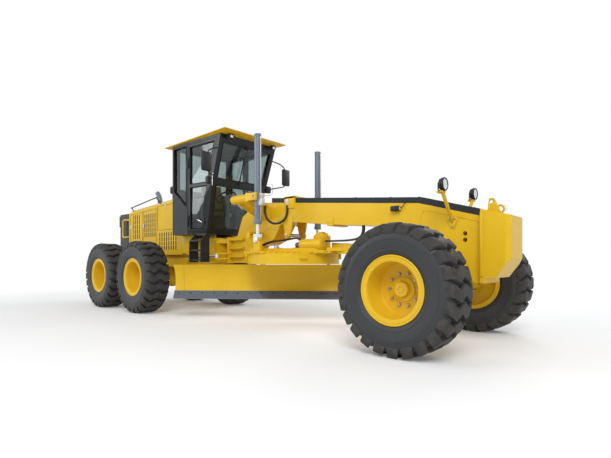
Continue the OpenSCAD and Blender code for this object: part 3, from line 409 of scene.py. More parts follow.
def weathered(name, color, rough, dust=0.0, dust_color=(0.30, 0.24, 0.17, 1), height=1.2, drift=0.25,
              skin=0.02, **sockets):
    """A painted, moulded or metal finish on the weathering group."""
    finish, tree, shader = plain_finish(name, **sockets)
    effect = tree.nodes.new("ShaderNodeGroup")
    effect.node_tree = weathering
    for label, value in (("Color", (*color, 1)), ("Dust", dust_color), ("Dust Amount", dust),
                         ("Dust Height", height), ("Drift", drift), ("Gloss Rough", rough)):
        effect.inputs[label].default_value = value
    bump = tree.nodes.new("ShaderNodeBump")
    bump.inputs["Strength"].default_value = skin
    bump.inputs["Distance"].default_value = 0.002
    tree.links.new(effect.outputs["Color"], shader.inputs["Base Color"])
    tree.links.new(effect.outputs["Rough"], shader.inputs["Roughness"])
    tree.links.new(effect.outputs["Height"], bump.inputs["Height"])
    tree.links.new(bump.outputs["Normal"], shader.inputs["Normal"])
    return finish


machine_yellow = weathered("machine_yellow", (0.78, 0.49, 0.014), 0.28, dust=0.12, Coat_Weight=0.06,
                           Coat_Roughness=0.08, Specular_IOR_Level=0.22)
# The same yellow paint as the machine, made a little darker and more orange on the cab roof: painted shade.
shaded_roof_yellow = weathered("shaded_roof_yellow", (0.78, 0.46, 0.014), 0.28, Coat_Weight=0.08, Coat_Roughness=0.1,
                        Specular_IOR_Level=0.25)
cab_charcoal = weathered("cab_charcoal", (0.014, 0.017, 0.020), 0.24, drift=0.1, Coat_Weight=0.08,
                         Specular_IOR_Level=0.28)
black_plastic = weathered("black_plastic", (0.014, 0.015, 0.017), 0.42, skin=0.12,
                          Specular_IOR_Level=0.35)
cover_black = weathered("cover_black", (0.022, 0.026, 0.031), 0.45, skin=0.10, Specular_IOR_Level=0.22)
barrel_slate = weathered("barrel_slate", (0.13, 0.165, 0.215), 0.25, Coat_Weight=0.4)
rod_chrome = weathered("rod_chrome", (0.80, 0.81, 0.83), 0.06, drift=0.05, skin=0.0, Metallic=1.0)
bare_steel = weathered("bare_steel", (0.42, 0.41, 0.39), 0.30, Metallic=0.9)
zinc_grey = weathered("zinc_grey", (0.58, 0.59, 0.58), 0.32, drift=0.3, Metallic=0.4)
# Cutting edge: dark steel lifted to a bluish grey, partly its own dark tone and partly a painted reflection
# on its glossy face.
edge_steel_and_reflection = weathered("edge_steel_and_reflection", (0.070, 0.090, 0.120), 0.10, dust=0.06, Coat_Weight=0.6)
wall_rubber = weathered("wall_rubber", (0.028, 0.030, 0.034), 0.40, dust=0.20, height=1.6,
                        dust_color=(0.085, 0.080, 0.074, 1), drift=0.3, skin=0.20, Specular_IOR_Level=0.4)
tread_rubber = weathered("tread_rubber", (0.024, 0.025, 0.026), 0.58, dust=0.55, height=3.0,
                         dust_color=(0.115, 0.100, 0.085, 1), drift=0.3, skin=0.25, Specular_IOR_Level=0.3)
hose_rubber = weathered("hose_rubber", (0.012, 0.012, 0.014), 0.38, skin=0.1)
gasket_rubber = weathered("gasket_rubber", (0.010, 0.010, 0.011), 0.55, skin=0.1, Specular_IOR_Level=0.3)
engine_grey = weathered("engine_grey", (0.10, 0.105, 0.11), 0.5, drift=0.5)
console_grey = weathered("console_grey", (0.14, 0.155, 0.165), 0.5, skin=0.15)
liner_grey = weathered("liner_grey", (0.36, 0.36, 0.35), 0.7, skin=0.2)
lamp_silver = weathered("lamp_silver", (0.85, 0.86, 0.88), 0.08, Metallic=1.0, skin=0.0)


def make_seat_cloth():
    finish, tree, shader = plain_finish("seat_cloth", Roughness=0.85, Sheen_Weight=0.3)
    effect = tree.nodes.new("ShaderNodeGroup")
    effect.node_tree = weave
    effect.inputs["Thread"].default_value = (0.62, 0.47, 0.29, 1)
    effect.inputs["Gap"].default_value = (0.36, 0.25, 0.14, 1)
    bump = tree.nodes.new("ShaderNodeBump")
    bump.inputs["Strength"].default_value = 0.4
    bump.inputs["Distance"].default_value = 0.002
    tree.links.new(effect.outputs["Color"], shader.inputs["Base Color"])
    tree.links.new(effect.outputs["Height"], bump.inputs["Height"])
    tree.links.new(bump.outputs["Normal"], shader.inputs["Normal"])
    return finish


seat_cloth = make_seat_cloth()
window_glass = weathered("window_glass", (0.46, 0.54, 0.54), -0.065, drift=0.06, skin=0.0,
                         Transmission_Weight=1.0, IOR=1.45)
lamp_glass = weathered("lamp_glass", (0.95, 0.97, 1.0), -0.040, drift=0.05, skin=0.0,
                       Transmission_Weight=0.9, IOR=1.4)
mirror_glass = weathered("mirror_glass", (0.75, 0.78, 0.80), -0.060, drift=0.08, skin=0.0, Metallic=1.0)
lens_white = weathered("lens_white", (0.90, 0.92, 0.93), 0.06, drift=0.10, skin=0.10, Coat_Weight=0.8)
red_lens = weathered("red_lens", (0.55, 0.02, 0.015), 0.08, drift=0.15, skin=0.10, Coat_Weight=0.6)

node_finish = {
    machine_yellow: ["rear_frame", "hood", "tandem_axle", "front_frame", "counterweight", "saddle",
                     "front_axle", "knuckle_right", "knuckle_left", "drawbar", "circle_drive", "circle",
                     "moldboard"],
    shaded_roof_yellow: ["cab_roof"],
    cab_charcoal: ["cab_frame", "door_right", "door_left", "ladders", "radiator_guard"],
    black_plastic: ["stacks", "handrails", "mirrors", "cab_lamps", "headlamps"],
    cover_black: ["hose_cover"],
    barrel_slate: ["lift_barrel_right", "lift_barrel_left", "articulation_barrel_right",
                   "articulation_barrel_left", "lean_cross_right", "lean_cross_left", "tie_rod",
                   "tie_rod_ball", "lean_bar"],
    rod_chrome: ["lift_rod_right", "lift_rod_left", "articulation_rod_right", "articulation_rod_left"],
    edge_steel_and_reflection: ["cutting_edge"],
    engine_grey: ["engine"],
    console_grey: ["console"],
    seat_cloth: ["seat"],
    window_glass: ["cab_glass", "door_glass_right", "door_glass_left"],
}
for finish, names in node_finish.items():
    for name in names:
        nodes[name].data.materials.clear()
        nodes[name].data.materials.append(finish)

# Wheels, modelled once at the origin with the axle along Y and the outer face toward -Y
wheel_y = 1.0775
axle_z = 0.675
tread_r = 0.675
web_y = 0.078
cap_drop = 0.021
hub_cap = {"tandem": 0.040, "front": 0.050}
wheel_places = {
    "tandem_right_1": (-1.811, -1), "tandem_right_2": (-3.349, -1), "tandem_left_1": (-1.811, 1),
    "tandem_left_2": (-3.349, 1), "front_right": (3.680, -1), "front_left": (3.680, 1),
}


def make_lug():
    """A zigzag bar of the tread at the top of the tyre, trimmed to the rounded shoulders."""
    half, zig, width, depth, spread = 0.056, 0.030, 0.445, 0.115, 1.16
    row = [((k / 4 - 0.5) * width, zig if k % 2 else -zig) for k in range(5)]
    outline = [(x + half, y, tread_r) for y, x in row]
    outline += [(x - half, y, tread_r) for y, x in reversed(row)]
    trace(outline)
    bpy.ops.mesh.select_all(action="SELECT")
    bpy.ops.mesh.edge_face_add()
    bpy.ops.mesh.extrude_region_move(TRANSFORM_OT_translate={"value": (0, 0, -depth)})
    bpy.ops.transform.resize(value=(spread, 1.0, 1.0), center_override=(0, 0, 0))
    shoulder = ((0.1525, 0.675, 0.42, 0.907), (0.2045, 0.647, 0.949, 0.316), (0.2185, 0.605, 0.995, -0.1))
    for side in (-1, 1):
        for y, z, normal_y, normal_z in shoulder:
            bpy.ops.mesh.select_all(action="SELECT")
            bpy.ops.mesh.bisect(plane_co=(0, side * y, z), plane_no=(0, side * normal_y, normal_z),
                                clear_outer=True, use_fill=True)
    bpy.ops.mesh.select_all(action="SELECT")
    bpy.ops.mesh.normals_make_consistent(inside=False)
    return soften(close_mesh(), 0.005, 2, 25)


def make_carcass():
    wall = [(0.3180, 0.1790), (0.3570, 0.1810), (0.3600, 0.1880), (0.3700, 0.1945), (0.4000, 0.2030),
            (0.4030, 0.2062), (0.4090, 0.2070), (0.4130, 0.2052), (0.4500, 0.2130), (0.4900, 0.2185),
            (0.5050, 0.2192), (0.5070, 0.2218), (0.5130, 0.2218), (0.5150, 0.2195), (0.5450, 0.2180),
            (0.5650, 0.2110), (0.5880, 0.2000), (0.6080, 0.1840), (0.6230, 0.1600), (0.6300, 0.1200)]
    profile = [(r, -y, 0) for r, y in wall] + [(r, y, 0) for r, y in reversed(wall)]
    return spun([*profile, profile[0]], (0, 0, 0), steps=96)


def make_lugs():
    seed = make_lug()
    lugs = [copied(seed, Matrix.Rotation(angle, 4, "Y")) for angle in around(24)]
    bpy.data.objects.remove(seed)
    return joined(lugs)


def make_nut(radius, height):
    begin()
    bpy.ops.mesh.primitive_cylinder_add(vertices=6, radius=radius, depth=height, location=(0, 0, height / 2))
    nut = settle()
    open_mesh(nut)
    pick_faces(lambda middle, normal: normal.z > 0.9)
    bpy.ops.mesh.inset(thickness=radius * 0.38)
    bpy.ops.mesh.extrude_region_move(TRANSFORM_OT_translate={"value": (0, 0, height * 0.35)})
    return soften(close_mesh(), radius * 0.09, 1)


def make_rim(cap):
    """The dished rim with its hub, whose cap stands out by the given length."""
    profile = [(0.0, 0.140), (0.125, 0.140), (0.125, 0.100), (0.2635, 0.100), (0.3035, 0.130),
               (0.3035, 0.195), (0.3555, 0.195), (0.3555, 0.180), (0.3175, 0.180), (0.3175, -0.180),
               (0.3490, -0.181), (0.3550, -0.186), (0.3550, -0.193), (0.3490, -0.197), (0.3390, -0.195),
               (0.3360, -0.189), (0.3300, -0.188), (0.3270, -0.191), (0.2980, -0.189), (0.2900, -0.185),
               (0.2860, -0.176), (0.2840, -0.120), (0.2810, 0.058), (0.2760, 0.068)]
    hub = [(0.2700, 0.002), (0.2640, 0), (0.1500, 0), (0.1470, 0.006), (0.1300, 0.006), (0.1270, 0.020),
           (0.1150, 0.024), (0.0850, 0.024), (0.0810, 0.030), (0.0760, 0.020 + cap), (0.0720, 0.024 + cap),
           (0.0520, 0.024 + cap), (0.0500, cap_drop + cap), (0.0, cap_drop + cap)]
    profile += [(r, web_y - out) for r, out in hub]
    return spun([(r, y, 0) for r, y in profile], (0, 0, 0), steps=72)


def make_wheel_bolts(cap):
    rings = []
    for count, reach, y, nut in ((10, 0.169, web_y, (0.018, 0.024)),
                                 (6, 0.032, web_y - cap_drop - cap, (0.0065, 0.006))):
        places = [((reach * math.cos(a), y, reach * math.sin(a)), (0, -1, 0)) for a in around(count)]
        rings.append(set_all(make_nut(*nut), places))
    return joined(rings)


def fit_wheels():
    carcass, lugs = make_carcass(), make_lugs()
    for axle, cap in hub_cap.items():
        rim, bolts = make_rim(cap), make_wheel_bolts(cap)
        for name in (name for name in wheel_places if name.startswith(axle)):
            x, side = wheel_places[name]
            turn = Matrix.Translation((x, side * wheel_y, axle_z))
            if side > 0:
                turn = turn @ Matrix.Rotation(math.pi, 4, "Z")
            body = "wheel_" + name
            wall = finished(copied(carcass, turn), "tyre_" + name + "_wall", wall_rubber, body)
            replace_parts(wall, "tyre_" + name)
            finished(copied(lugs, turn), "tyre_" + name + "_tread", tread_rubber, body)
            disc = finished(copied(rim, turn), "rim_" + name + "_turned", machine_yellow, body)
            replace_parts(disc, "rim_" + name)
            finished(copied(bolts, turn), "wheel_bolts_" + name, bare_steel, body)
        bpy.data.objects.remove(rim)
        bpy.data.objects.remove(bolts)
    bpy.data.objects.remove(carcass)
    bpy.data.objects.remove(lugs)


fit_wheels()

# Cab: its A-post has one slope up to the sill of the windscreen and another above it
post_foot = (1.46, -0.500, 0.530)
post_sill = (2.36, -0.203, 0.622)
post_head = (3.13, 0.057, 0.639)
door_hinge_x = -0.880
door_hinge_y = 0.690


def post_line(z, column):
    """The A-post's x (column 1) or half width (column 2) at a height."""
    low, high = (post_foot, post_sill) if z < post_sill[0] else (post_sill, post_head)
    share = (z - low[0]) / (high[0] - low[0])
    return low[column] + share * (high[column] - low[column])


def door_skin(x, z):
    """Half width of the cab's side at a place on the door."""
    share = (x - door_hinge_x) / (post_line(z, 1) - door_hinge_x)
    return door_hinge_y + (post_line(z, 2) - door_hinge_y) * share


def door_edge(z, inset):
    """The x of the door's front edge at a height, less an inset."""
    if z < post_sill[0]:
        slant = 0.75 - 0.47 * (z - post_foot[0]) / 0.90
    else:
        slant = 0.28 - 0.08 * (z - post_sill[0]) / 0.77
    x = post_line(z, 1) - 0.08 - inset
    return x - slant * (post_line(z, 2) - door_skin(x, z))


def fit_gaskets():
    strips = []
    for low, high, low_half, high_half in ((1.55, 2.30, 0.443, 0.525), (2.42, 3.00, 0.535, 0.550)):
        corners = ((low, -low_half), (low, low_half), (high, high_half), (high, -high_half))
        strips.append(pipe([(post_line(z, 1) + 0.002, y, z) for z, y in corners], 0.011, closed=True))
    for side in sides.values():
        corners = ((-1.33, 2.28), (-0.91, 1.96), (-0.91, 3.07), (-1.33, 3.07))
        strips.append(pipe([(x, side * 0.691, z) for x, z in corners], 0.010, closed=True))
    corners = ((-0.56, 2.34), (0.56, 2.34), (0.56, 3.07), (-0.56, 3.07))
    strips.append(pipe([(-1.381, y, z) for y, z in corners], 0.010, closed=True))
    finished(joined(strips), "window_gaskets", gasket_rubber, "rear")


def fit_door(name, side):
    body = "door_" + name
    rear_x = -0.80
    strips = []
    for low, high in ((1.555, 2.30), (2.36, 3.03)):
        corners = [(rear_x, low), (door_edge(low, 0.05), low), (door_edge(high, 0.05), high), (rear_x, high)]
        ring = [(x, side * (door_skin(x, z) + 0.001), z) for x, z in corners]
        strips.append(pipe(ring, 0.008, closed=True))
    finished(joined(strips), "door_gaskets_" + name, gasket_rubber, body)
    z = 1.70
    x = door_edge(z, 0.035)
    y = door_skin(x, z)
    base = side_block(side, (x - 0.03, y - 0.004, z - 0.07), (x + 0.03, y + 0.022, z + 0.07), 0.010)
    finished(base, "door_latch_" + name, black_plastic, body)
    bow = [(x - 0.01, y + 0.015, z - 0.05), (x - 0.012, y + 0.045, z - 0.03), (x - 0.07, y + 0.055, z),
           (x - 0.13, y + 0.050, z + 0.02)]
    grip = pipe(smooth_path(on_side(side, bow)), 0.011)
    finished(grip, "door_grip_" + name, rod_chrome, body)


def fit_wiper():
    top, tip = 2.985, 2.50
    tip_x = post_line(tip, 1)
    hub = turned([(0, 0), (0.030, 0), (0.030, 0.030), (0.022, 0.042), (0, 0.042)],
                 (post_line(top, 1) - 0.004, -0.03, top), to_front, 24)
    arms = [pipe([(post_line(z, 1) + 0.030, y, z) for y, z in path], 0.007)
            for path in ([(-0.03, top), (-0.06, 2.52)], [(0.02, top - 0.01), (-0.03, 2.53)])]
    blade = block((tip_x + 0.012, -0.065, tip - 0.16), (tip_x + 0.030, -0.045, tip + 0.30), 0.004)
    swing(blade, (tip_x + 0.02, 0, tip), math.atan2(0.243, 0.72))
    finished(joined([hub, *arms, blade]), "wiper", black_plastic, "rear")


def lamp_head(low, high):
    """A boxed work lamp: a softened case with its front face set in, and a lens in that face."""
    rim, deep = 0.010, 0.012
    case = block(low, high, rim)
    open_mesh(case)
    pick_faces(lambda middle, normal: normal.x > 0.95)
    bpy.ops.mesh.inset(thickness=rim)
    bpy.ops.mesh.extrude_region_move(TRANSFORM_OT_translate={"value": (-deep, 0, 0)})
    close_mesh()
    lens = block((high[0] - deep, low[1] + deep, low[2] + deep),
                 (high[0] - 0.001, high[1] - deep, high[2] - deep), 0.003)
    return case, lens


def fit_cab_lamps():
    roof_lamp = ((0.100, 0.440, 3.040), (0.168, 0.535, 3.122))
    step_lamp = ((-0.545, 0.400, 1.418), (-0.430, 0.470, 1.458))
    cases, lenses = [], []
    for side in sides.values():
        for low, high in (roof_lamp, step_lamp):
            y = sorted((side * low[1], side * high[1]))
            case, lens = lamp_head((low[0], y[0], low[2]), (high[0], y[1], high[2]))
            cases.append(case)
            lenses.append(lens)
        cases.append(round_bar((0.134, side * 0.4875, 3.110), (0.134, side * 0.4875, 3.132), 0.012))
    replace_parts(finished(joined(cases), "cab_lamp_cases", black_plastic, "rear"), "cab_lamps")
    finished(joined(lenses), "cab_lamp_lenses", lens_white, "rear")


def fit_mirrors():
    heads, faces, arms = [], [], []
    for side in sides.values():
        head = side_block(side, (0.018, 0.828, 2.442), (0.080, 1.012, 2.763), 0.026)
        heads.append(soften(head, 0.004))
        faces.append(side_block(side, (0.014, 0.844, 2.462), (0.020, 0.996, 2.743), 0.003))
        for z, end, bow in ((2.90, 2.745, 0.05), (2.36, 2.470, -0.05)):
            start = (post_line(z, 1) - 0.04, post_line(z, 2) + 0.006, z)
            halfway = (0.03, 0.76, (z + end + bow) / 2)
            path = [start, halfway, (0.048, 0.86, end + bow), (0.048, 0.90, end)]
            arms.append(pipe(smooth_path(on_side(side, path)), 0.011))
    mirrors = finished(joined([*heads, *arms]), "mirror_heads", black_plastic, "rear")
    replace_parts(mirrors, "mirrors")
    finished(joined(faces), "mirror_faces", mirror_glass, "rear")


def swell(pad, held, most):
    """Cloth under pressure swells the pad away from the face it rests on, by no more than the most."""
    pressure, last_frame = 4, 20
    before = [corner.co.copy() for corner in pad.data.vertices]
    group = pad.vertex_groups.new(name="held")
    group.add([i for i, place in enumerate(before) if held(place)], 1.0, "REPLACE")
    cloth = pad.modifiers.new("cover", "CLOTH")
    cloth.settings.use_pressure = True
    cloth.settings.uniform_pressure_force = pressure
    cloth.settings.vertex_group_mass = "held"
    cloth.settings.effector_weights.gravity = 0
    cloth.point_cache.frame_start = 1
    cloth.point_cache.frame_end = last_frame
    for frame_number in range(1, last_frame + 1):
        bpy.context.scene.frame_set(frame_number)
    bpy.ops.object.modifier_apply(modifier="cover")
    bpy.context.scene.frame_set(1)
    pad.vertex_groups.clear()
    moves = [corner.co - place for corner, place in zip(pad.data.vertices, before)]
    share = min(1.0, most / max(move.length for move in moves))
    for corner, place, move in zip(pad.data.vertices, before, moves):
        corner.co = place + share * move


def cushion(low, high, face):
    """A padded cover: a softened block, swollen as cloth, with sewn channels down its open face."""
    held_depth, most = 0.012, 0.020
    channel_depth, channel_width = 0.009, 0.007
    pad = block(low, high, 0.030)
    pad.data.remesh_voxel_size = 0.008
    bpy.ops.object.voxel_remesh()
    face = Vector(face)
    rest = Vector(low).dot(face)
    thick = Vector(high).dot(face) - rest
    swell(pad, lambda place: place.dot(face) - rest < held_depth, most)
    for corner in pad.data.vertices:
        open_share = max(0.0, min(1.0, (corner.co.dot(face) - rest) / thick * 2 - 0.8))
        for channel in (-0.13, -0.045, 0.045, 0.13):
            fall = math.exp(-((corner.co.y - channel) / channel_width) ** 2)
            corner.co -= face * (channel_depth * open_share * fall)
    smooth = pad.modifiers.new("smooth", "SUBSURF")
    smooth.levels = smooth.render_levels = 1
    bpy.ops.object.modifier_apply(modifier="smooth")
    bpy.ops.object.shade_smooth()
    return pad


def fit_seat():
    base = cushion((-1.098, -0.232, 1.835), (-0.735, 0.232, 1.928), (0, 0, 1))
    back = cushion((-1.090, -0.222, 1.965), (-0.998, 0.222, 2.465), (1, 0, 0))
    swing(back, (-1.09, 0, 1.94), math.radians(-8))
    for name, pad in (("seat_base", base), ("seat_back", back)):
        finished(pad, name, seat_cloth, "rear")
    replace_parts(base, "seat")
    post = block((-1.00, -0.15, 1.502), (-0.74, 0.15, 1.835), 0.012)
    finished(post, "seat_box", console_grey, "rear")


def fit_levers():
    knob = [(0, -0.03), (0.012, -0.028), (0.020, -0.010), (0.020, 0.008), (0.012, 0.022), (0, 0.026)]
    levers, knobs = [], []
    for side in sides.values():
        for i in range(4):
            x, y = -0.80 - 0.07 * i, side * 0.40
            levers.append(round_bar((x, y, 2.018), (x + 0.03, y, 2.16), 0.007, 0.001, 12))
            knobs.append(turned(knob, (x + 0.033, y, 2.18), to_top, 16))
    finished(joined(levers), "lever_stems", rod_chrome, "rear")
    finished(joined(knobs), "lever_knobs", black_plastic, "rear")


def fit_headliner():
    liner = block((-1.31, -0.565, 3.092), (-0.030, 0.565, 3.126), 0.008)
    open_mesh(liner)
    pick_faces(lambda middle, normal: normal.z < -0.95)
    bpy.ops.mesh.inset(thickness=0.09)
    bpy.ops.mesh.extrude_region_move(TRANSFORM_OT_translate={"value": (0, 0, 0.015)})
    finished(close_mesh(), "cab_headliner", liner_grey, "rear")


def fit_signals():
    guard = [(-0.17, 0.62, 2.47), (-0.10, 0.68, 2.47), (-0.085, 0.70, 2.44), (-0.095, 0.70, 2.30),
             (-0.12, 0.68, 2.26), (-0.23, 0.615, 2.25)]
    cases, loops = [], []
    for side in sides.values():
        cases.append(side_block(side, (-0.255, 0.615, 2.300), (-0.165, 0.735, 2.430), 0.018))
        loops.append(pipe(smooth_path(on_side(side, guard)), 0.007))
    finished(joined(cases), "signal_cases", black_plastic, "rear")
    finished(joined(loops), "signal_guards", rod_chrome, "rear")


fit_gaskets()
fit_signals()
for side_name, side_sign in sides.items():
    fit_door(side_name, side_sign)
fit_wiper()
fit_cab_lamps()
fit_mirrors()
fit_seat()
fit_levers()
fit_headliner()


# Hood, stacks and rear
hood_rear_x = -3.673
hood_length = 2.248
hood_side_y = 0.4605


def hood_top(x):
    return 2.140 + (x - hood_rear_x) * 0.125 / hood_length


def fit_hood_seams():
    doors = ((-3.600, -3.020, 1.36, 2.03), (-2.990, -2.400, 1.36, 2.06), (-2.370, -1.480, 1.62, 2.12))
    seams, latches = [], []
    for side in sides.values():
        y = side * hood_side_y
        for x0, x1, z0, z1 in doors:
            ring = [(x0, y, z0), (x1, y, z0), (x1, y, z1 + 0.02), (x0, y, z1)]
            seams.append(pipe(ring, 0.0035, closed=True))
        for x in (-3.55, -2.96):
            latches.append(side_block(side, (x - 0.030, hood_side_y, 1.70),
                                      (x + 0.030, hood_side_y + 0.016, 1.80), 0.006))
        latches.append(side_block(side, (-2.058, hood_side_y, 2.045),
                                  (-2.022, hood_side_y + 0.014, 2.175), 0.005))
    finished(joined(seams), "hood_seams", gasket_rubber, "rear")
    finished(joined(latches), "hood_latches", zinc_grey, "rear")


def fit_gussets():
    outline = [(-1.424, 1.458), (-1.02, 1.458), (-1.08, 1.40), (-1.14, 1.32), (-1.175, 1.22), (-1.185, 1.12),
               (-1.424, 1.12)]
    gussets = [slab([(x, side * 0.474, z) for x, z in outline], (0, -side * 0.025, 0), 0.004)
               for side in sides.values()]
    finished(joined(gussets), "cab_gussets", machine_yellow, "rear")


def fit_louvres():
    """Near-black blocks filling the hood's slots and a near-black sheet behind them, both painted shade of
    the open slots, with the bars left between their rows.
    """
    # A near-black sheet inside each hood side: painted shade seen through the slots.
    shade_backings = [side_block(side, (-3.62, 0.424, 1.17), (-1.46, 0.4335, 2.03), 0.003)
              for side in sides.values()]
    finished(joined(shade_backings), "hood_shade_backings", gasket_rubber, "rear")
    groups = ((0.104, 0.219, 4, 1.48, 2.01), (0.335, 0.531, 6, 1.50, 1.99), (0.620, 0.900, 8, 1.21, 1.56))
    slot_shades, bars = [], []
    for first, last, count, low, high in groups:
        rows = round((high - low) / 0.12)
        heights = [low + (high - low) * (k + 1) / (rows + 1) for k in range(rows)]
        for i in range(count):
            x = hood_rear_x + hood_length * (first + i * (last - first) / (count - 1))
            for side in sides.values():
                # Near-black blocks filling each slot: painted shade of the open slot.
                slot_shades.append(side_block(side, (x - 0.017, 0.437, low - 0.003),
                                        (x + 0.017, 0.4608, high + 0.003), 0.001))
                bars += [side_block(side, (x - 0.018, 0.450, z - 0.006),
                                    (x + 0.018, 0.4625, z + 0.006), 0.002) for z in heights]
    finished(joined(slot_shades), "louvre_slot_shades", gasket_rubber, "rear")
    finished(joined(bars), "louvre_bars", machine_yellow, "rear")


def fit_rails():
    rear, front = -3.600, -2.480
    rail = [(rear + 0.05, 0.405, hood_top(rear) - 0.03), (rear, 0.425, hood_top(rear) + 0.055),
            (rear + 0.03, 0.425, hood_top(rear) + 0.066), (front - 0.03, 0.425, hood_top(front) + 0.118),
            (front, 0.425, hood_top(front) + 0.112), (front + 0.14, 0.405, hood_top(front) - 0.03)]
    rails = [pipe(smooth_path(on_side(side, rail), 4), 0.012) for side in sides.values()]
    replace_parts(finished(joined(rails), "hood_rails", black_plastic, "rear"), "handrails")
    loop = [(-3.66, 0.450, 1.92), (-3.76, 0.485, 1.93), (-3.88, 0.485, 1.93), (-3.925, 0.485, 1.89),
            (-3.925, 0.485, 1.73), (-3.925, 0.485, 1.57), (-3.88, 0.485, 1.53), (-3.76, 0.485, 1.53),
            (-3.66, 0.450, 1.54)]
    loops = [pipe(smooth_path(on_side(side, loop)), 0.019) for side in sides.values()]
    finished(joined(loops), "rear_grab_loops", machine_yellow, "rear")


def fit_rear_lamps():
    """Red lamps low on the frame, and work lamps modelled facing forward and turned to the rear."""
    lamps = [side_block(side, (-4.348, 0.34, 0.97), (-4.328, 0.45, 1.06), 0.008) for side in sides.values()]
    finished(joined(lamps), "tail_lamps", red_lens, "rear")
    cases, lenses = [], []
    for side in sides.values():
        y = sorted((-side * 0.300, -side * 0.425))
        for shelf, shape in zip((cases, lenses), lamp_head((4.188, y[0], 1.790), (4.262, y[1], 2.050))):
            shape.data.transform(Matrix.Rotation(math.pi, 4, "Z"))
            shelf.append(shape)
    finished(joined(cases), "rear_work_lamp_cases", black_plastic, "rear")
    finished(joined(lenses), "rear_work_lamp_lenses", lens_white, "rear")


def fit_stacks():
    x, y = -2.650, -0.250
    z = hood_top(x)
    bend = [(x, y, z), (x, y, z + 0.10), (x - 0.02, y, z + 0.165), (x - 0.07, y, z + 0.235),
            (x - 0.11, y, z + 0.275)]
    stub = pipe(smooth_path(bend), 0.052)
    collar = turned([(0.050, 0), (0.072, 0), (0.072, 0.018), (0.058, 0.024), (0.050, 0.024), (0.050, 0)],
                    (x, y, z), to_top, 32)
    x, y = -2.020, -0.270
    bowl = turned([(0, 0), (0.045, 0), (0.045, 0.130), (0.060, 0.136), (0.088, 0.152), (0.092, 0.210),
                   (0.086, 0.216), (0.086, 0.226), (0.092, 0.232), (0.090, 0.262), (0.062, 0.288),
                   (0, 0.296)], (x, y, hood_top(x)), to_top)
    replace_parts(finished(joined([stub, collar]), "exhaust_stub", barrel_slate, "rear"), "stacks")
    finished(bowl, "precleaner", black_plastic, "rear")


def fit_steps():
    grips = []
    for side in sides.values():
        for z in (1.007, 1.177, 1.347):
            places = [((-0.62 + 0.056 * i, side * y, z - 0.002), (0, 0, 1))
                      for i in range(6) for y in (0.66, 0.70, 0.74)]
            grips.append(set_all(make_nut(0.010, 0.004), places))
    finished(joined(grips), "step_grips", black_plastic, "rear")


fit_hood_seams()
fit_gussets()
fit_louvres()
fit_rails()
fit_rear_lamps()
fit_stacks()
fit_steps()

# Front frame: its beam falls gently up to the knee and steeply along the nose
knee_x = 3.420
knee_z = 1.676
beam_fall = 0.0969
nose_fall = 0.282


def beam_top(x):
    return knee_z + (knee_x - x) * (beam_fall if x < knee_x else nose_fall)


def hose(name, points, radius, body, ends_in=None):
    """A free rubber hose; one that ends on another body is attached to none, its place baked into its mesh.
    """
    path = smooth_path(points)
    piece = pipe(path, radius)
    piece.name = name
    piece.data.name = name
    piece.data.materials.append(hose_rubber)
    if ends_in:
        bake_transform(piece)
    else:
        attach(piece, body)


def fit_lamp_posts():
    """Headlamps on slanting posts, each post on a bolted foot plate."""
    foot = [(3.820, 1.345), (3.866, 1.345), (3.905, 1.452), (3.890, 1.480), (3.790, 1.480), (3.776, 1.452)]
    foot_bolts = ((3.876, 1.454), (3.804, 1.454), (3.842, 1.368))
    case = [(0, -0.044), (0.040, -0.042), (0.070, -0.025), (0.084, 0.005), (0.085, 0.040), (0.078, 0.045),
            (0.072, 0.042), (0.060, 0), (0, -0.025)]
    bowl = [(0, -0.018), (0.030, -0.014), (0.055, 0.004), (0.070, 0.034), (0.064, 0.034), (0, -0.010)]
    lens = [(0, 0.041), (0.072, 0.036), (0.072, 0.032), (0, 0.036)]
    stirrup = [(-0.087, 0), (-0.087, -0.074), (0.087, -0.074), (0.087, 0)]
    posts, cases, bowls, lenses, bolts = [], [], [], [], []
    for side in sides.values():
        x, y, z = 3.845, side * 0.450, 1.815
        posts.append(round_bar((3.842, side * 0.172, 1.418), (x, y, z - 0.075), 0.021))
        posts.append(slab([(px, side * 0.170, pz) for px, pz in foot], (0, side * 0.012, 0), 0.003))
        places = [((px, side * 0.182, pz), (0, side, 0)) for px, pz in foot_bolts]
        bolts.append(set_all(make_nut(0.012, 0.010), places))
        posts.append(block((x - 0.05, y - 0.045, z - 0.095), (x + 0.02, y + 0.045, z - 0.072), 0.006))
        for shelf, profile in ((cases, case), (bowls, bowl), (lenses, lens)):
            shelf.append(turned(profile, (x, y, z), to_front @ Matrix.Scale(0.88, 4)))
        cases.append(pipe([(x - 0.01, y + aside, z + up) for aside, up in stirrup], 0.007))
    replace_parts(finished(joined(posts), "lamp_posts", machine_yellow, "front"), "headlamps")
    finished(joined(cases), "headlamp_cases", black_plastic, "front")
    finished(joined(bowls), "headlamp_bowls", lamp_silver, "front")
    finished(joined(lenses), "headlamp_lenses", lamp_glass, "front")
    finished(joined(bolts), "lamp_post_bolts", bare_steel, "front")


def fit_beam():
    nose_weld = [(3.475, 1.27), (3.452, 1.45), (3.462, 1.545), (3.53, 1.575), (3.80, 1.505), (4.165, 1.402)]
    neck_weld = [(0.30, 1.40), (0.62, 1.46), (0.98, 1.62), (1.20, 1.66)]
    beads, straps = [], []
    for side in sides.values():
        y = side * 0.1705
        beads.append(pipe(smooth_path([(x, y, z) for x, z in nose_weld]), 0.0055))
        beads.append(pipe([(x, y, z) for x, z in neck_weld], 0.005))
        straps.append(side_block(side, (1.985, 0.164, 1.500), (2.095, 0.182, 1.595)))
        straps.append(side_block(side, (1.110, 0.145, 1.80), (1.330, 0.186, 1.988), 0.005))
    straps.append(block((1.985, -0.182, 1.480), (2.095, 0.182, 1.5035)))
    straps.append(block((1.110, -0.186, 1.955), (1.330, 0.186, 1.990)))
    finished(joined(beads), "beam_welds", machine_yellow, "front")
    finished(joined(straps), "beam_straps", machine_yellow, "front")


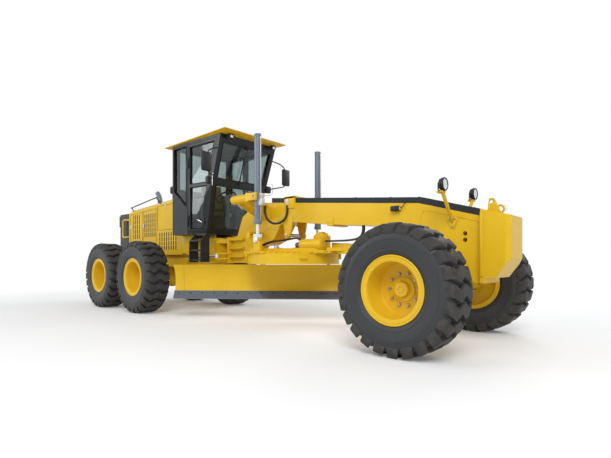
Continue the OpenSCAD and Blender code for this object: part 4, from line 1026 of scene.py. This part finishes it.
def fit_cover_bolts():
    cover_high, nose_drop = 0.080, 0.004
    caps = []
    for x in (1.36, 1.90, 2.45, 3.00, 3.40, 3.75, 4.08):
        on_nose = x > knee_x
        z = beam_top(x) + cover_high - (nose_drop if on_nose else 0)
        caps += [((x, y, z), (nose_fall if on_nose else beam_fall, 0, 1)) for y in (-0.125, 0.125)]
    finished(set_all(make_nut(0.011, 0.008), caps), "cover_bolts", bare_steel, "front")


def fit_side_lamp():
    case = block((3.055, -0.236, 1.600), (3.185, -0.172, 1.665), 0.014)
    finished(case, "beam_side_lamp", black_plastic, "front")
    lens = block((3.180, -0.226, 1.608), (3.188, -0.182, 1.656), 0.003)
    finished(lens, "beam_side_lens", lamp_silver, "front")
    lead = [(3.18, -0.19, 1.64), (3.215, -0.195, 1.655), (3.235, -0.182, 1.69), (3.24, -0.150, 1.72)]
    finished(pipe(smooth_path(lead), 0.005), "beam_lamp_wire", hose_rubber, "front")


def fit_nose_ring():
    x, y, z, reach = 4.295, 0.06, 1.552, 0.042
    circle_path = [(x + reach * math.cos(a), y, z + reach * math.sin(a)) for a in around(24)]
    ring = pipe(circle_path, 0.012, closed=True)
    stem = round_bar((x, y, 1.484), (x, y, 1.512), 0.022)
    finished(joined([ring, stem]), "nose_ring", machine_yellow, "front")


def fit_lifting_plate():
    """A three-cornered plate over the lifting eye, with the eye's hole kept open."""
    eye_x, eye_z = 4.218, 1.635
    outline = [(4.188, 1.490), (4.345, 1.455), (4.262, 1.650), (4.245, 1.672), (4.218, 1.680),
               (4.194, 1.668)]
    plate = slab([(x, -0.014, z) for x, z in outline], (0, 0.028, 0), 0.003)
    drill = round_bar((eye_x, -0.05, eye_z), (eye_x, 0.05, eye_z), 0.0205, 0.001, 32)
    begin()
    plate.select_set(True)
    bpy.context.view_layer.objects.active = plate
    hole = plate.modifiers.new("hole", "BOOLEAN")
    hole.object = drill
    bpy.ops.object.modifier_apply(modifier="hole")
    bpy.data.objects.remove(drill)
    finished(plate, "lifting_plate", machine_yellow, "front")


def fit_nose_flanges():
    flanges = [side_block(side, (4.182, 0.240, 0.80), (4.212, 0.264, 1.500), 0.005)
               for side in sides.values()]
    finished(joined(flanges), "nose_flanges", machine_yellow, "front")


# Lift cylinders hang in the saddle's forks
lift_x = 1.060
lift_y = 0.697
fork_z = 1.940


def fit_saddle_caps():
    cap = [(0, -0.020), (0.040, -0.016), (0.062, 0), (0.068, 0.016), (0.068, 0.030), (0, 0.030)]
    caps = []
    for side in sides.values():
        caps.append(turned(cap, (0.472, side * lift_y, fork_z), to_front))
        bolts = [((lift_x + 0.036 * math.cos(a), side * 0.789, fork_z + 0.036 * math.sin(a)), (0, side, 0))
                 for a in around(4, 45)]
        caps.append(set_all(make_nut(0.009, 0.008), bolts))
        caps.append(side_block(side, (0.797, 0.295, 1.862), (0.852, 0.365, 1.902), 0.006))
    finished(joined(caps), "saddle_caps", machine_yellow, "front")


def fit_lift_cylinder(name, side):
    body = "lift_barrel_" + name
    y = side * lift_y
    gland = turned([(0.052, 0), (0.0585, 0.004), (0.0605, 0.012), (0.0605, 0.050), (0.0580, 0.060),
                    (0.052, 0.062), (0.052, 0)], (lift_x, y, 1.526), to_top)
    crown = turned([(0, 0), (0.052, 0), (0.057, -0.004), (0.057, -0.030), (0.052, -0.034)],
                   (lift_x, y, 2.886), to_top)
    finished(joined([gland, crown]), "lift_glands_" + name, barrel_slate, body)
    low = block((1.108, y - 0.034, 1.80), (1.186, y + 0.034, 1.91), 0.008)
    head = block((1.112, y - 0.026, 1.91), (1.166, y + 0.026, 1.985), 0.008)
    finished(joined([low, head]), "lift_valve_" + name, zinc_grey, body)
    rise = [(1.128, 1.944), (1.128, 2.10), (1.124, 2.60), (1.122, 2.80), (1.110, 2.845), (1.098, 2.852)]
    drop = [(1.128, 1.831), (1.130, 1.70), (1.126, 1.60), (1.112, 1.565)]
    pipes = [pipe(smooth_path([(x, y, z) for x, z in run]), 0.008) for run in (rise, drop)]
    finished(joined(pipes), "lift_pipes_" + name, bare_steel, body)


def fit_saddle_hose(name, side):
    """A hose that hangs in a loop from the saddle's web to a ferrule on the beam's strap."""
    start_x, end_x, start_y, end_y = 0.822, 1.180, 0.330, 0.187
    bow_z, bow_depth = 1.760, 0.190
    loop = [(start_x, start_y, 1.872), (start_x, start_y, 1.82)]
    for angle in (math.radians(30 * i) for i in range(7)):
        share = (1 - math.cos(angle)) / 2
        loop.append((start_x + (end_x - start_x) * share, start_y + (end_y - start_y) * share,
                     bow_z - bow_depth * math.sin(angle)))
    loop += [(end_x, end_y, 1.83), (end_x, 0.176, 1.915)]
    hose("saddle_hose_" + name, on_side(side, loop), 0.018, "front")
    ferrule = round_bar((end_x, side * 0.190, 1.850), (end_x, side * 0.190, 1.945), 0.025)
    finished(ferrule, "hose_ferrule_" + name, zinc_grey, "front")


def fit_neck_ears():
    """Ears under the neck on both flanks, with a pin across them."""
    pin_x, pin_z = 1.180, 1.382
    outline = [(1.050, 1.690), (1.290, 1.690), (1.262, 1.480), (1.235, 1.385), (1.180, 1.340),
               (1.125, 1.385), (1.098, 1.480)]
    ears = []
    for side in sides.values():
        ears.append(slab([(x, side * 0.177, z) for x, z in outline], (0, -side * 0.027, 0), 0.004))
        ears.append(round_bar((pin_x, side * 0.205, pin_z), (pin_x, side * 0.140, pin_z), 0.055))
    finished(joined(ears), "neck_ears", machine_yellow, "front")
    pin = round_bar((pin_x, -0.214, pin_z), (pin_x, 0.214, pin_z), 0.027)
    finished(pin, "neck_ear_pin", bare_steel, "front")


fit_lamp_posts()
fit_beam()
fit_cover_bolts()
fit_side_lamp()
fit_nose_ring()
fit_lifting_plate()
fit_nose_flanges()
fit_saddle_caps()
for side_name, side_sign in sides.items():
    fit_lift_cylinder(side_name, side_sign)
    fit_saddle_hose(side_name, side_sign)
fit_neck_ears()


# Drawbar, circle and blade
drive_x = 1.740
worm_y = -0.200
worm_z = 1.216
drawbar_rim_z = 1.100
circle_x = 1.140
blade_turn = math.radians(38)
blade_rest_shift = 0.04
half_blade = 1.981
bolt_head = (0.013, 0.004)


def edge_row(start, stop, count):
    """Places along an edge of the drawbar's plate, facing away from its middle."""
    start, stop = Vector((*start, drawbar_rim_z)), Vector((*stop, drawbar_rim_z))
    out = Vector((stop.y - start.y, start.x - stop.x, 0)).normalized()
    if start.y > 0:
        out = -out
    return [(start.lerp(stop, (i + 0.5) / count), out) for i in range(count)]


def fit_drawbar_bolts():
    bolts = []
    for side in sides.values():
        bolts += edge_row((0.770, side * 0.7013), (1.170, side * 0.7586), 5)
        bolts += edge_row((1.190, side * 0.7528), (2.050, side * 0.1372), 12)
    edge = set_all(make_nut(0.024, 0.028), bolts)
    finished(edge, "drawbar_edge_bolts", machine_yellow, "drawbar")
    tops = [((drive_x + 0.110 * math.cos(a), 0.110 * math.sin(a), 1.3445), (0, 0, 1)) for a in around(8)]
    cover = set_all(make_nut(0.012, 0.012), tops)
    finished(cover, "drive_cover_bolts", machine_yellow, "drawbar")
    caps = [((1.948, worm_y + 0.052 * math.cos(a), worm_z + 0.052 * math.sin(a)), (1, 0, 0))
            for a in around(6)]
    finished(set_all(make_nut(0.010, 0.009), caps), "worm_cap_bolts", bare_steel, "drawbar")


def fit_drive_motor():
    motor = turned([(0, -0.125), (0.034, -0.125), (0.040, -0.119), (0.040, -0.075), (0.052, -0.070),
                    (0.052, -0.024), (0.066, -0.020), (0.066, 0.002), (0, 0.002)],
                   (1.520, worm_y, worm_z), to_front)
    finished(motor, "drive_motor", engine_grey, "drawbar")
    stub = block((0.850, -0.500, 1.163), (0.915, -0.420, 1.215), 0.008)
    finished(stub, "drive_hose_block", machine_yellow, "drawbar")
    valve = joined([block((1.045, -0.345, 1.112), (1.105, -0.285, 1.215), 0.006),
                    block((1.055, -0.335, 1.213), (1.085, -0.305, 1.240), 0.004)])
    finished(valve, "drawbar_valve", zinc_grey, "drawbar")


def fit_drive_hoses():
    valve_run = [(1.105, -0.315, 1.170), (1.16, -0.313, 1.168), (1.24, -0.300, 1.160), (1.33, -0.275, 1.160),
                 (1.42, -0.250, 1.168), (1.47, -0.240, 1.172), (1.505, -0.235, 1.175)]
    hose("drive_hose_3", valve_run, 0.011, "drawbar")
    motor_run = [(1.500, 0, 0.056), (1.475, 0, 0.082), (1.39, -0.012, 0.108), (1.24, -0.070, 0.086),
                 (1.06, -0.170, 0.064), (0.945, -0.235, 0.026), (0.905, -0.258, -0.006),
                 (0.886, -0.264, -0.038)]
    for i, aside in enumerate((-0.022, 0.022)):
        path = [(x, worm_y + aside + y, worm_z + z) for x, y, z in motor_run]
        hose("drive_hose_" + str(i + 1), path, 0.012, "drawbar")


def in_blade(u, y, z):
    """A place on the blade: u along it, y across it, z up."""
    u -= blade_rest_shift
    x = circle_x + u * math.cos(blade_turn) - y * math.sin(blade_turn)
    return Vector((x, u * math.sin(blade_turn) + y * math.cos(blade_turn), z))


def in_blade_direction(u, y, z):
    return in_blade(u, y, z) - in_blade(0, 0, 0)


def fit_edge_bolts():
    low = Vector((0.0988, 0.400))
    up = Vector((0.0370, 0.0700)).normalized()
    out = Vector((-up.y, up.x))
    spot = low + up * 0.034 + out * 0.0195
    normal = in_blade_direction(0, *out)
    heads = [(in_blade(-1.90 + 0.2 * i, *spot), normal) for i in range(20)]
    # The bolt heads are near-black: painted shade of the countersunk holes they sit in.
    finished(set_all(make_nut(*bolt_head), heads), "edge_bolts", cover_black, "blade")


def fit_end_plates():
    """Thin wear plates on the hollow face of the blade at both ends."""
    hollow, middle, width = 0.440, Vector((-0.270, 0.640)), 0.150
    plates, heads = [], []

    def face(z):
        return middle.x + math.sqrt(hollow ** 2 - (z - middle.y) ** 2)

    for u in (-half_blade, half_blade - width):
        rows = (0.445, 0.52, 0.60, 0.68, 0.76, 0.84, 0.905)
        outline = [in_blade(u, face(z) - 0.008, z) for z in rows]
        outline += [in_blade(u, face(z) + 0.006, z) for z in reversed(rows)]
        plates.append(slab(outline, in_blade_direction(width, 0, 0), 0.002))
        for z in (0.48, 0.58, 0.68, 0.78, 0.87):
            inward = (middle - Vector((face(z), z))).normalized()
            heads.append((in_blade(u + width / 2, face(z) - 0.008, z), in_blade_direction(0, *inward)))
    finished(joined(plates), "blade_end_plates", machine_yellow, "blade")
    finished(set_all(make_nut(*bolt_head), heads), "end_plate_bolts", machine_yellow, "blade")


def fit_beam_hoses():
    run = [(2.573, 0, 1.462), (2.578, 0, 1.405), (2.552, 0, 1.325), (2.470, 0, 1.278), (2.300, 0, 1.262),
           (2.100, 0, 1.262), (1.975, -0.030, 1.262), (1.900, -0.060, 1.262)]
    for i, y in enumerate((-0.135, -0.100)):
        path = [(x, y + aside, z) for x, aside, z in run]
        hose("beam_hose_" + str(i + 1), path, 0.013, "front", ends_in="drawbar")


fit_drawbar_bolts()
fit_drive_motor()
fit_drive_hoses()
fit_edge_bolts()
fit_end_plates()
fit_beam_hoses()

# Studio
begin()
bpy.ops.mesh.primitive_plane_add(size=120, location=(0, 0, 0))
floor = bpy.context.object
floor.name = "studio_floor"


def shown_rays(tree):
    """Where the white background shows: straight, in gloss and through glass."""
    rays = tree.nodes.new("ShaderNodeLightPath")
    shown = rays.outputs["Is Camera Ray"]
    for label in ("Is Glossy Ray", "Is Transmission Ray"):
        either = tree.nodes.new("ShaderNodeMath")
        either.operation = "MAXIMUM"
        tree.links.new(shown, either.inputs[0])
        tree.links.new(rays.outputs[label], either.inputs[1])
        shown = either.outputs[0]
    return shown


def make_floor_white():
    """Pale floor that keeps the shadows under the object and turns plain white farther out."""
    shadow_lift, white_from, white_to = 0.08, 5.5, 10
    finish, tree, shader = plain_finish("floor_white", Base_Color=(0.90, 0.90, 0.90, 1), Roughness=0.95)
    shown = shown_rays(tree)
    lift = tree.nodes.new("ShaderNodeEmission")
    tree.links.new(ranged(tree, shown, 0, 1, 0, shadow_lift), lift.inputs["Strength"])
    near = tree.nodes.new("ShaderNodeAddShader")
    tree.links.new(shader.outputs[0], near.inputs[0])
    tree.links.new(lift.outputs[0], near.inputs[1])
    reach = tree.nodes.new("ShaderNodeVectorMath")
    reach.operation = "LENGTH"
    tree.links.new(tree.nodes.new("ShaderNodeTexCoord").outputs["Object"], reach.inputs[0])
    far = tree.nodes.new("ShaderNodeEmission")
    surface = tree.nodes.new("ShaderNodeMixShader")
    away = ranged(tree, reach.outputs["Value"], white_from, white_to, 0, 1)
    tree.links.new(product(tree, away, shown), surface.inputs[0])
    tree.links.new(near.outputs[0], surface.inputs[1])
    tree.links.new(far.outputs[0], surface.inputs[2])
    tree.links.new(surface.outputs[0], tree.nodes["Material Output"].inputs["Surface"])
    return finish


floor_white = make_floor_white()
floor.data.materials.append(floor_white)


def lamp(name, place, aim, size, power):
    begin()
    bpy.ops.object.light_add(type="AREA", location=place, rotation=along(Vector(place) - Vector(aim)))
    light = bpy.context.object
    light.name = name
    light.data.size = size
    light.data.energy = power


lamp("key_lamp", (9.0, -9.0, 9.5), (0.5, 0, 1), 6, 1050)
lamp("fill_lamp", (-7.0, -10.0, 6.0), (-1, 0, 1), 6, 380)
lamp("rim_lamp", (2.0, 10.0, 8.0), (0, 0, 1), 6, 500)

world = bpy.data.worlds.new("studio_sky")
bpy.context.scene.world = world
world.use_nodes = True
sky = world.node_tree
ambient = sky.nodes["Background"]
ambient.inputs["Color"].default_value = (0.95, 0.97, 1, 1)
ambient.inputs["Strength"].default_value = 0.48
white = sky.nodes.new("ShaderNodeBackground")
white.inputs["Color"].default_value = (1, 1, 1, 1)
blend = sky.nodes.new("ShaderNodeMixShader")
sky.links.new(shown_rays(sky), blend.inputs[0])
sky.links.new(ambient.outputs[0], blend.inputs[1])
sky.links.new(white.outputs[0], blend.inputs[2])
sky.links.new(blend.outputs[0], sky.nodes["World Output"].inputs["Surface"])

begin()
